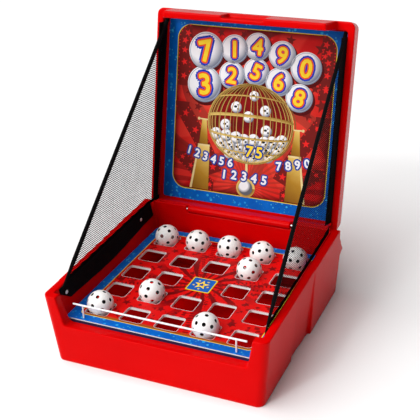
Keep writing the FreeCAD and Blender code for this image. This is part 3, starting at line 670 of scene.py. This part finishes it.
def net_piece(name, node, side, material):
    """One side net: a single taut sheet whose material opens it into mesh."""
    front, rear, top = net_outline()
    height = (top - rear).dot(BRIM_UP)
    rows, columns = 110, 70

    def knot(share, along):
        rise = height * min(share, 0.998)
        start = base_edge(0.0) + BRIM_UP * rise
        left = crossing(start, BRIM_WAY, front, top)
        right = crossing(start, BRIM_WAY, lid_edge(0.0), top)
        reach = right + (left - right) * along
        spot = start + BRIM_WAY * reach
        spot.x = net_x(spot, side)
        return spot, (reach - right, rise)

    vertices, uvs = zip(*(pair for row in point_grid(rows, columns, knot) for pair in row))
    piece = make_piece(name, vertices, grid_faces(rows, columns + 1), material, None,
                       uvs, smooth=True)
    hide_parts(node)
    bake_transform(piece)
    return piece


def ribbon(name, node, spots, side, thick, material, body):
    """A closed flat strip in a node's place: a grid of points, thickened across the case."""
    rows, columns = len(spots), len(spots[0])
    vertices, uvs = [], []
    for shift in (0.5, -0.5):
        travel = 0.0
        for row in range(rows):
            if row:
                travel += (spots[row][0] - spots[row - 1][0]).length
            for spot in spots[row]:
                vertices.append(spot + Vector((side * thick * shift, 0, 0)))
                uvs.append((travel, (spot - spots[row][0]).length))
    layer = rows * columns
    front = grid_faces(rows - 1, columns)
    faces = front + [tuple(layer + index for index in reversed(quad)) for quad in front]
    rim = ([row * columns for row in range(rows)]
           + list(range(layer - columns + 1, layer))
           + [row * columns - 1 for row in range(rows - 1, 0, -1)]
           + list(range(columns - 2, 0, -1)))
    for vertex, following in zip(rim, rim[1:] + rim[:1]):
        faces.append((vertex, following, layer + following, layer + vertex))
    piece = make_piece(name, vertices, faces, material, body, uvs, smooth=True)
    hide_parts(node)
    return piece


def binding_piece(name, node, side, material):
    """The rolled tape along the net's free front edge, from the base rivet to the lid rivet.

    It turns from base to lid along its own run, so that each of its sections stays together."""
    front, _, top = net_outline()
    run = top - front
    inward = Vector((0, run.z, -run.y)).normalized()
    steps, turns = 96, 12
    vertices, uvs = [], []
    for step in range(steps + 1):
        share = step / steps
        centre = front + run * (share * 1.03 - 0.015)
        plump = min(1.0, 0.4 + share * 6.0)
        middle = net_x(centre, side) - side * 1.2 * MM
        for turn, angle in enumerate(full_turn(turns, closed=True)):
            spot = centre + inward * (BINDING[0] * plump * cos(angle))
            spot.x = middle + side * BINDING[1] * plump * sin(angle)
            vertices.append(spot)
            uvs.append((run.length * share, 0.0012 * turn))
    last = steps * (turns + 1)
    ends = [tuple(range(turns)), tuple(last + turn for turn in reversed(range(turns)))]
    piece = make_piece(name, vertices, grid_faces(steps, turns + 1) + ends, material, None,
                       uvs, smooth=True)
    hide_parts(node)
    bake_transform(piece)
    return piece


BASE_TAPE_DEPTH = 24.0 * MM
TAPE_THICK = 0.8 * MM


BASE_TAPE_DEPTH = 24.0 * MM
TAPE_THICK = 0.8 * MM


def base_tape_piece(name, node, side, material):
    """The wide tape under the brim, held by two rivets, its free lower edge slightly wavy."""
    low, high = corners(node)

    def spot(share, down):
        reach = HINGE.y - (low.y + (high.y - low.y) * share)
        taper = min(1.0, 0.36 + share * 9.0)
        deep = BASE_TAPE_DEPTH * (taper + 0.22 * sin(pi * share) ** 2)
        point = base_edge(reach) - BRIM_UP * (0.4 * MM + deep * down)
        wave = 0.35 * MM * sin(7.0 * share * pi) * down ** 2
        point.x = side * (tape_wall(low, high, point.z) - 0.45 * MM - abs(wave))
        return point

    return ribbon(name, node, point_grid(90, 8, spot), side, TAPE_THICK, material, "base")


def tape_wall(low, high, z):
    """Half width, at a height, of the leaning wall behind the tape that has this box."""
    inner = min(abs(low.x), abs(high.x)) + TAPE_THICK
    outer = max(abs(low.x), abs(high.x))
    return inner + (outer - inner) * (z - low.z) / (high.z - low.z)


def lid_tape_piece(name, node, side, material):
    """The tape up the lid's side: against the tray's wall behind, free and leaning in in front."""
    low, high = corners(node)
    middle = (low.x + high.x) / 2
    rim, front = 6.2 * MM, -14.0 * MM

    def spot(share, forward):
        up = NET_CORNER + (NET_TOP - NET_CORNER) * share
        rear = (8.5 + 16.0 * share) * MM
        depth = rear + (front - rear) * forward
        lean = 3.0 * MM * max(0.0, (rim - depth) / (rim - front))
        pucker = 0.2 * MM * sin(up * 95.0) * sin(pi * forward)
        return lid_point(middle - side * (lean + abs(pucker)), up, depth)

    return ribbon(name, node, point_grid(100, 12, spot), side, 0.75 * MM, material, "lid")


# ---- artwork in flat layers

LAYER = 0.05             # millimetres from one layer of ink to the next
OUTLINE_COPIES = 12      # shifted copies that make up a number's outline
COPY_LIFT = 0.0035       # millimetres by which each copy lies above the last


class Art:
    """Flat shapes in one ink on a printed face, drawn in millimetres, gathered as one piece."""

    def __init__(self, name, spot, material, body, slot, layer):
        self.name, self.spot, self.material = name, spot, material
        self.body, self.slot, self.height = body, slot, layer * LAYER
        self.vertices, self.faces, self.uvs = [], [], []

    def shape(self, points, faces=None, uvs=None, lift=0.0):
        """One flat shape.  Without uvs, its box is spread over the square from 0 to 1."""
        first = len(self.vertices)
        faces = faces or [tuple(range(len(points)))]
        if uvs is None:
            xs, ys = zip(*points)
            wide, tall = max(xs) - min(xs) or 1.0, max(ys) - min(ys) or 1.0
            uvs = [((x - min(xs)) / wide, (y - min(ys)) / tall) for x, y in points]
        self.vertices += [self.spot(x, y, self.height + lift) for x, y in points]
        self.faces += [tuple(first + index for index in face) for face in faces]
        self.uvs += uvs

    def disc(self, x, y, radius, squash=1.0, steps=48):
        """A filled circle or ellipse."""
        turns = full_turn(steps)
        self.shape([around(x, y, radius, turn, squash) for turn in turns],
                   uvs=[around(0, 0, 1, turn) for turn in turns])

    def star(self, x, y, radius, turn=0.0):
        """A five-pointed star."""
        tips = [around(x, y, radius * (0.42 if step % 2 else 1.0), angle + turn + pi / 2)
                for step, angle in enumerate(full_turn(10))]
        self.shape(tips + [(x, y)], [(10, step, (step + 1) % 10) for step in range(10)])

    def stroke(self, path, width):
        """A line of even width through the points."""
        path = [Vector(point) for point in path]
        last = len(path) - 1
        points = []
        for index, point in enumerate(path):
            way = (path[min(index + 1, last)] - path[max(index - 1, 0)]).normalized()
            normal = Vector((-way.y, way.x)) * (width / 2)
            points += [(point + normal)[:], (point - normal)[:]]
        faces = [(2 * i, 2 * i + 1, 2 * i + 3, 2 * i + 2) for i in range(last)]
        uvs = [(i / max(1, last), side) for i in range(len(path)) for side in (0.0, 1.0)]
        self.shape(points, faces, uvs)

    def ring(self, x, y, radius, width, squash=1.0, steps=60):
        """A circle or ellipse drawn as a line."""
        self.stroke([around(x, y, radius, turn, squash) for turn in full_turn(steps, closed=True)],
                    width)

    def number(self, text, x, y, size, turn=0.0, grow=0.0):
        """A number, its edge moved out by grow: shifted copies, each just above the last."""
        points, faces = glyph(text, size)
        cosine, sine = cos(turn), sin(turn)
        for copy, way in enumerate(full_turn(OUTLINE_COPIES if grow else 1)):
            dx, dy = around(x, y, grow, way)
            self.shape([(dx + px * cosine - py * sine, dy + px * sine + py * cosine)
                        for px, py in points], faces, lift=COPY_LIFT * copy)

    def finish(self):
        """Make the piece."""
        make_piece(self.name, self.vertices, self.faces, self.material, self.body,
                   self.uvs)


FONT_SCALE = 1.38        # font size that makes a digit one unit high


def glyph(text, size):
    """A bold number's outline filled flat, centred, about size high."""
    curve = bpy.data.curves.new("glyph", "FONT")
    curve.body = text
    curve.size = size * FONT_SCALE
    curve.resolution_u = 3
    holder = new_object("glyph", curve)
    mesh = final_mesh(holder)
    xs, ys = zip(*(v.co.xy for v in mesh.vertices))
    x, y = (min(xs) + max(xs)) / 2, (min(ys) + max(ys)) / 2
    points = [(v.co.x - x, v.co.y - y) for v in mesh.vertices]
    faces = [tuple(face.vertices) for face in mesh.polygons]
    bpy.data.objects.remove(holder)
    bpy.data.curves.remove(curve)
    bpy.data.meshes.remove(mesh)
    return points, faces


def on_backdrop(x, up, height):
    """A point of the backdrop's face, from millimetres."""
    return lid_point(x * MM, up * MM, PRINT_DEPTH - height * MM)


def on_board(x, y, height, top=BOARD_TOP):
    """A point above the board's middle, from millimetres."""
    return Vector((x * MM, BOARD_CENTRE.y + y * MM, top + height * MM))


def on_label(x, y, height):
    """A point above the free space's label."""
    return on_board(x, y, height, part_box("free_space_label")[1][2])


def backdrop_art(name, paint, layer):
    """Shapes on the backdrop."""
    return Art(name, on_backdrop, PAINTS[paint], "lid", "backdrop_print", layer)


def base_art(name, paint, layer, spot, slot):
    """Shapes on the board or on the free space's label."""
    return Art(name, spot, PAINTS[paint], "base", slot, layer)


# Text, x, up, radius and turn of each ball, in millimetres and radians.
NUMBERED_BALLS = [("7", -85, 266, 31, 0.22), ("1", -35, 273, 23.5, 0.05),
                  ("4", 5, 280, 22.5, -0.04), ("9", 47.5, 270, 23, -0.16),
                  ("0", 89, 253, 26, -0.1), ("3", -85.5, 211, 30.5, 0.12),
                  ("2", -37, 230, 23, -0.1), ("5", 5, 239.5, 22.5, -0.35),
                  ("6", 45, 227, 23, -0.12), ("8", 81, 204.5, 23, -0.25)]
CAGE = (0.0, 152.5, 75.0, 66.0)      # the drawn cage's middle, half width and half height


def numbered_balls():
    """Ten numbered balls in two arcs over the cage."""
    shade = backdrop_art("art_ball_shadows", "shadow", 3)
    balls = backdrop_art("art_numbered_balls", "ball", 4)
    rims = backdrop_art("art_ball_rims", "grey", 5)
    layers = [backdrop_art(f"art_numbers_{word}", word, 6 + index)
              for index, word in enumerate(("blue", "orange", "yellow"))]
    for text, x, up, radius, turn in NUMBERED_BALLS:
        shade.disc(x + 3, up - 4, radius + 1)
        balls.disc(x, up, radius)
        rims.ring(x, up, radius * 0.93, radius * 0.035)
        for layer, grow in zip(layers, (0.25, 0.13, 0.04)):
            layer.number(text, x, up, radius * 1.14, turn, grow * radius)
    return [shade, balls, rims] + layers


HALF_TURN = [pi * (step / 24 - 0.5) for step in range(25)]


def cage_arcs(art, count, width, bow):
    """Upright wires of the drawn cage, bowed like meridians."""
    cx, cy, half_x, half_y = CAGE
    for index in range(count):
        share = (index + 0.5) / count * 2 - 1
        reach = sin(share * pi / 2) * half_x * 0.995 + bow
        art.stroke([(cx + reach * cos(t), cy + half_y * sin(t)) for t in HALF_TURN], width)


def cage_heap(rng):
    """The balls in the drawn cage: a few loose ones over three rows of a heap."""
    balls = [(4.5, 200, 8.5), (-26, 178.5, 9.5), (25.5, 177, 9.5), (-3.5, 164.5, 9.5),
             (-43.5, 147.5, 9.5), (29, 144.5, 9.5)]
    for level, (rise, half) in enumerate(((98, 34), (111, 50), (125, 58))):
        count = 6 + level
        for index in range(count):
            x = -half + 2 * half * index / (count - 1)
            droop = 6.0 * (x / 60.0) ** 2
            balls.append((x + rng.uniform(-2, 2), rise + droop + rng.uniform(-2, 2), 10.6))
    return balls


def cage_wires(art):
    """The front of the drawn cage: upright wires, its rim and the hoops round it."""
    cx, cy, half_x, half_y = CAGE
    cage_arcs(art, 19, 1.25, 0.0)
    art.ring(cx, cy, half_x, 2.2, half_y / half_x, steps=90)
    for rise, bow, width in ((8, 6, 5.0), (-17, -7, 3.4), (38, 9, 2.2), (-42, -7, 2.2)):
        reach = half_x * sqrt(1 - (rise / half_y) ** 2)
        art.stroke([(cx + reach * sin(t), cy + rise + bow * cos(t)) for t in HALF_TURN], width)


def cage_stands(stands, edges):
    """The two stands that hold the drawn cage, and the chute at its foot."""
    for side in (-1, 1):
        for outline in (((74, 109), (90, 109), (86, 152), (78, 152)),
                        ((69, 31), (104, 31), (91.5, 107), (70.5, 107))):
            stands.shape([(side * x, up) for x, up in outline])
        edges.shape([(side * x, up) for x, up in ((100, 31), (104, 31), (91.5, 109), (88.5, 109))])
        edges.stroke([(side * 70, 108), (side * 92, 108)], 3.0)
        edges.stroke([(side * 76, 152), (side * 91, 152.5)], 2.4)
        edges.disc(side * 92, 152.5, 2.4, steps=16)
    edges.stroke([(-2, 86), (-1, 70), (-3, 56)], 4.0)


def cage_picture(rng):
    """A wire cage of balls between two stands, with a ring and a steel ball below."""
    cx, cy, half_x, half_y = CAGE
    dark = backdrop_art("art_cage_inside", "inside", 3)
    dark.disc(cx, cy, half_x, half_y / half_x, 72)
    back = backdrop_art("art_cage_back_wires", "old_gold", 4)
    cage_arcs(back, 13, 1.5, 5.0)
    heap = backdrop_art("art_cage_balls", "ball", 5)
    marks = backdrop_art("art_cage_marks", "black", 6)
    for x, up, radius in cage_heap(rng):
        heap.disc(x, up, radius, steps=24)
        marks.disc(x - 1.5, up + 1.0, radius * 0.30, 0.7, 10)
        marks.disc(x + 3.2, up - 2.5, radius * 0.20, 0.8, 8)
        marks.disc(x + 2.4, up + 4.2, radius * 0.16, 0.7, 8)
    wires = backdrop_art("art_cage_wires", "gold", 7)
    cage_wires(wires)
    stands = backdrop_art("art_stands", "stand", 8)
    edges = backdrop_art("art_stand_edges", "cream", 9)
    cage_stands(stands, edges)
    ring = backdrop_art("art_outlet_ring", "gold", 10)
    ring.ring(-1, 44, 14.5, 4.2)
    steel = backdrop_art("art_steel_ball", "steel", 11)
    steel.disc(-1, 44, 12.5)
    return [dark, back, heap, marks, wires, stands, edges, ring, steel]


# Start, end, width and bulge of the film bands on the right, in millimetres.
BANDS = (((131, 178), (58, 62), 26, 12), ((131, 92), (60, 36), 20, 6),
         ((112, 300), (131, 205), 24, -12))


def band_path(side, start, end, bulge):
    """The middle line of a film band, kept inside the picture."""
    path = []
    for step in range(17):
        share = step / 16
        bend = bulge * sin(pi * share)
        x = side * (start[0] + (end[0] - start[0]) * share - bend)
        up = start[1] + (end[1] - start[1]) * share - bend
        path.append((max(-124, min(124, x)), max(40, min(295, up))))
    return path


def sprocket_dots(art, path, width):
    """Square dots along both edges of a band."""
    for index in range(1, 16):
        way = Vector(path[index]) - Vector(path[index - 1])
        if way.length < 1:
            continue
        normal = Vector((-way.y, way.x)).normalized() * (width * 0.42)
        for sign in (-1, 1):
            spot = Vector(path[index]) + normal * sign
            art.disc(spot.x, spot.y, 1.3, steps=4)


def film_bands(rng):
    """Brown film bands sweeping from the frame towards the cage, with stars and sprocket dots."""
    bands = backdrop_art("art_film_bands", "brown", 1)
    stars = backdrop_art("art_band_stars", "scarlet", 2)
    for side in (-1, 1):
        for start, end, width, bulge in BANDS:
            path = band_path(side, start, end, bulge)
            bands.stroke(path, width)
            for x, up in path[2:15:3]:
                stars.star(x, up, width * 0.27, rng.uniform(-0.4, 0.4))
            sprocket_dots(stars, path, width)
    return [bands, stars]


def scattered_stars(rng):
    """Dark and bright stars on the backdrop's red ground."""
    dark = backdrop_art("art_dark_stars", "brown", 1.5)
    bright = backdrop_art("art_bright_stars", "scarlet", 2.5)
    spots = [(-115, 285, 9), (-112, 232, 10), (-112, 196, 8), (-60, 190, 9), (-95, 172, 8),
             (112, 285, 12), (121, 262, 8), (118, 236, 12), (106, 222, 9), (119, 196, 12),
             (97, 178, 9), (60, 295, 9), (-20, 298, 7), (25, 300, 7), (-60, 298, 8), (110, 165, 7)]
    for x, up, radius in spots:
        dark.star(x, up, radius, rng.uniform(-0.6, 0.6))
        bright.star(x + radius * 0.5, up - radius * 0.9, radius * 0.42, rng.uniform(-0.6, 0.6))
    return [dark, bright]


ROW_OUTLINE = 3.2        # how far the outline of a number in the rows stands out


def number_rows():
    """Rows of outlined numbers across the foot of the picture."""
    blue = backdrop_art("art_row_blue", "navy", 12)
    white = backdrop_art("art_row_white", "white", 13)
    gold = backdrop_art("art_row_yellow", "yellow", 13.5)
    arc = [(-107, 97), (-92, 93), (-77, 89), (-62, 86), (-47, 84.5), (-31, 83.5), (55, 89),
           (71, 92), (87, 96), (103, 100)]
    rows = [(white, text, x, up, 14, 0.0022 * x, 0.7) for (x, up), text in zip(arc, "1234567890")]
    rows += [(white, text, -41 + 18 * index, 62.5 + 1.2 * sin(index), 15, -0.08, 0.8)
             for index, text in enumerate("12345")]
    rows += [(gold, text, 2 + 17 * index, 107, 19, -0.05, 0.8) for index, text in enumerate("75")]
    for fill, text, x, up, size, turn, grow in rows:
        blue.number(text, x, up, size, turn, ROW_OUTLINE)
        fill.number(text, x, up, size, turn, grow)
    return [blue, white, gold]


def rounded_square(x, y, half, corner, steps=8):
    """The closed outline of a square with round corners."""
    straight = half - corner
    path = [around(x + side_x * straight, y + side_y * straight, corner,
                   (turn + step / steps) * pi / 2)
            for turn, (side_x, side_y) in enumerate(((1, 1), (-1, 1), (-1, -1), (1, -1)))
            for step in range(steps + 1)]
    return path + path[:1]


PITCH = 57.15                        # millimetres from one hole to the next
HOLE_HALF, HOLE_CORNER = 18.2, 4.6   # half a hole's width, and the radius of its corners
HOLE_HIGHLIGHT_WIDTH = 0.5                         # width of the white line painted round a hole as a highlight


def painted_hole_highlights(art):
    """A white line just outside the edge of every hole, painted as a highlight on the hole edges.
    """
    away = 0.27
    for column in range(-2, 3):
        for row in range(-2, 3):
            if column or row:
                art.stroke(rounded_square(column * PITCH, row * PITCH, HOLE_HALF + away,
                                          HOLE_CORNER + away), HOLE_HIGHLIGHT_WIDTH)


def board_stars(art, rng):
    """Big stars between four holes and small ones between two, inside the border."""
    def small_star(x, y):
        art.star(x, y, rng.uniform(3.0, 4.6), rng.uniform(-0.6, 0.6))

    for column in range(-2, 3):
        for row in range(-2, 3):
            x, y = (column + 0.5) * PITCH, (row + 0.5) * PITCH
            if abs(x) < 130 and abs(y) < 125:
                art.star(x, y, rng.uniform(6.5, 9.0), rng.uniform(-0.6, 0.6))
            if abs(column * PITCH) < 130 and abs(y) < 125:
                small_star(column * PITCH + rng.uniform(-8, 8), y)
            if abs(x) < 130:
                small_star(x, row * PITCH + rng.uniform(-8, 8))


def board_artwork(rng):
    """White lines round the holes painted as highlights, dark stars between them, and the free
    space's label.
    """
    # painted highlight: white lines that brighten the edges of the holes
    hole_highlights = base_art("art_painted_hole_highlights", "white", 2, on_board, "board_print")
    painted_hole_highlights(hole_highlights)
    stars = base_art("art_board_stars", "maroon", 1, on_board, "board_print")
    board_stars(stars, rng)
    sun = base_art("art_label_star", "yellow", 1, on_label, "label_print")
    sun.star(0, 0, 13.0)
    for angle in full_turn(5):
        sun.star(*around(0, 0, 12.5, angle + pi * 0.7), 2.6)
    eye = base_art("art_label_eye", "navy", 2, on_label, "label_print")
    eye.star(0, 0, 6.0)
    return [hole_highlights, stars, sun, eye]


def label_material():
    """The free space's blue label with its yellow edge."""
    g = print_graph("label_blue")
    x, y, _ = g.parts(g.place())
    distance = inside_distance(g, x, g.minus(y, BOARD_CENTRE.y), 0.0182, 0.0182, 0.002)
    blue = g.mix(g.noise(0.01, 2.0), (8, 74, 160), (14, 104, 196))
    g.colour(g.mix(g.step(distance, 0.0, 0.0004), blue, (226, 200, 30)))
    return g.material


# ---- the whole object

def build_case(red):
    """The two shells, with their rivet bores plugged."""
    for body in ("base", "lid"):
        axes = [(low + high) / 2 for low, high in RIVETS[body]]
        soft_shell(f"case_{body}", f"{body}_shell", axes, red, body)


def build_nets():
    """The nets with their bindings, tapes and rivets."""
    tape = woven_black("tape_black", 1.1 * MM)
    chrome = metal("rivet_bright", (250, 250, 252), (232, 234, 238), 0.34, 0.35)
    for body in ("base", "lid"):
        rivet_heads(f"rivet_heads_{body}", f"{body}_rivets", chrome, body)
    for name, side in SIDES.items():
        mesh = net_black(f"net_black_{name}", 8.0 * MM)
        net = net_piece(f"side_net_{name}", f"net_{name}", side, mesh)
        trim = [binding_piece(f"net_edge_tape_{name}", f"net_binding_{name}", side, tape),
                base_tape_piece(f"base_hem_{name}", f"base_tape_{name}", side, tape),
                lid_tape_piece(f"lid_hem_{name}", f"lid_tape_{name}", side, tape)]


BACKDROP_MIDDLE = 167.7 * MM         # from the hinge up to the middle of the backdrop's picture


def dress_nodes():
    """The materials of the CAD nodes that are drawn as they are."""
    dress(metal("pin_bright", (214, 215, 217), (186, 187, 190), 0.24),
          "hinge_pin_left", "hinge_pin_right")
    dress(plain_plastic("board_core_white", (254, 254, 253), (248, 248, 247), 0.45),
          "game_board", "backdrop_panel")
    dress(ball_plastic(), *[f"ball_{number}" for number in range(1, 10)])
    dress(plain_plastic("rail_white", (240, 241, 243), (228, 229, 232), 0.3), "ball_rail")
    dress(plain_plastic("skirt_blue", (6, 40, 84), (4, 26, 58), 0.35), "board_skirt")
    dress(framed_print("board_print_ink", BOARD_CENTRE, Vector((0, 1, 0)), BOARD_FRAME,
                       board_ground), "board_print")
    middle = lid_point(0.0, BACKDROP_MIDDLE, PRINT_DEPTH)
    dress(framed_print("backdrop_ink", middle, LID_UP, BACKDROP_FRAME, backdrop_ground),
          "backdrop_print")
    dress(label_material(), "free_space_label")


# The two sRGB colours that each ink drifts between, and how far apart where it isn't 0.01 m.
INKS = {"shadow": ((96, 8, 10), (70, 6, 8)), "grey": ((176, 184, 200), (150, 158, 176)),
        "blue": ((18, 48, 172), (28, 66, 196)), "orange": ((236, 70, 24), (244, 96, 34)),
        "yellow": ((250, 204, 22), (252, 226, 70)), "cream": ((240, 222, 164), (226, 200, 130)),
        "black": ((24, 22, 26), (44, 42, 46)), "scarlet": ((232, 26, 28), (240, 44, 40)),
        "maroon": ((112, 6, 10), (134, 10, 14)), "navy": ((14, 52, 140), (20, 70, 168)),
        "white": ((244, 245, 248), (232, 234, 240)), "inside": ((158, 12, 14), (70, 8, 10), 0.02),
        "brown": ((104, 22, 20), (128, 30, 26), 0.03)}


PAINTS = {word: ink(f"ink_{word}", *look) for word, look in INKS.items()}
PAINTS["ball"] = drawn_ball("ink_ball", (246, 247, 250), (120, 128, 146), 0.62)
PAINTS["steel"] = drawn_ball("ink_steel", (240, 242, 245), (96, 100, 108), 0.8)
PAINTS["gold"] = drawn_gold("ink_gold", (232, 200, 112), (140, 98, 24))
PAINTS["old_gold"] = drawn_gold("ink_old_gold", (140, 104, 50), (92, 62, 24))
PAINTS["stand"] = stand_gold()


def build_artwork():
    """Everything drawn on the prints."""
    rng = random.Random(7)
    layers = (film_bands(rng) + scattered_stars(rng) + numbered_balls() + cage_picture(rng)
              + number_rows() + board_artwork(rng))
    for art in layers:
        art.finish()


# ---- floor, light and camera

def add_sun(name, source, spread, strength):
    """Soft light from far off, from the side of the source point, spread over some degrees."""
    data = bpy.data.lights.new(name, "SUN")
    data.angle = radians(spread)
    data.energy = strength
    light = new_object(name, data)
    light.rotation_mode = "QUATERNION"
    light.rotation_quaternion = (-Vector(source)).to_track_quat("-Z", "Y")


FLOOR_HALF = 60.0        # the floor reaches past the horizon of every view


def build_studio():
    """A white floor, a faint even sky and three suns."""
    outline = [(x * FLOOR_HALF, y * FLOOR_HALF, 0) for x, y in ((-1, -1), (1, -1), (1, 1), (-1, 1))]
    floor = make_piece("floor", outline, [(0, 1, 2, 3)], floor_white())
    world = bpy.data.worlds.new("studio")
    bpy.context.scene.world = world
    world.use_nodes = True
    sky = world.node_tree.nodes["Background"]
    sky.inputs["Color"].default_value = (1.0, 1.0, 1.0, 1.0)
    sky.inputs["Strength"].default_value = 0.12
    add_sun("key", (-0.95, -0.75, 2.1), 70.0, 3.2)
    add_sun("front", (-0.8, -1.9, 0.9), 24.0, 0.7)
    add_sun("sparkle", (-0.6, -1.5, 1.3), 6.0, 0.4)
    bpy.context.scene.view_settings.view_transform = "Standard"


def build_camera():
    """The camera stands in front, to the player's right, and looks down at the case."""
    data = bpy.data.cameras.new("camera")
    data.sensor_width = 36.0
    data.lens = 78.48
    data.clip_end = 200.0
    camera = new_object("camera", data)
    place = Vector((0.51844, -1.11271, 0.79805))
    aim = Vector((0.0179, 0.0, 0.2010))
    roll = -0.032
    look = (aim - place).normalized()
    level = look.cross(Vector((0, 0, 1))).normalized()
    rise = level.cross(look)
    right = level * cos(roll) + rise * sin(roll)
    up = right.cross(look)
    camera.matrix_world = Matrix.Translation(place) @ Matrix(
        [[right[i], up[i], -look[i]] for i in range(3)]).to_4x4()
    bpy.context.scene.camera = camera


build_case(red_plastic())
build_nets()
dress_nodes()
build_artwork()
build_studio()
build_camera()
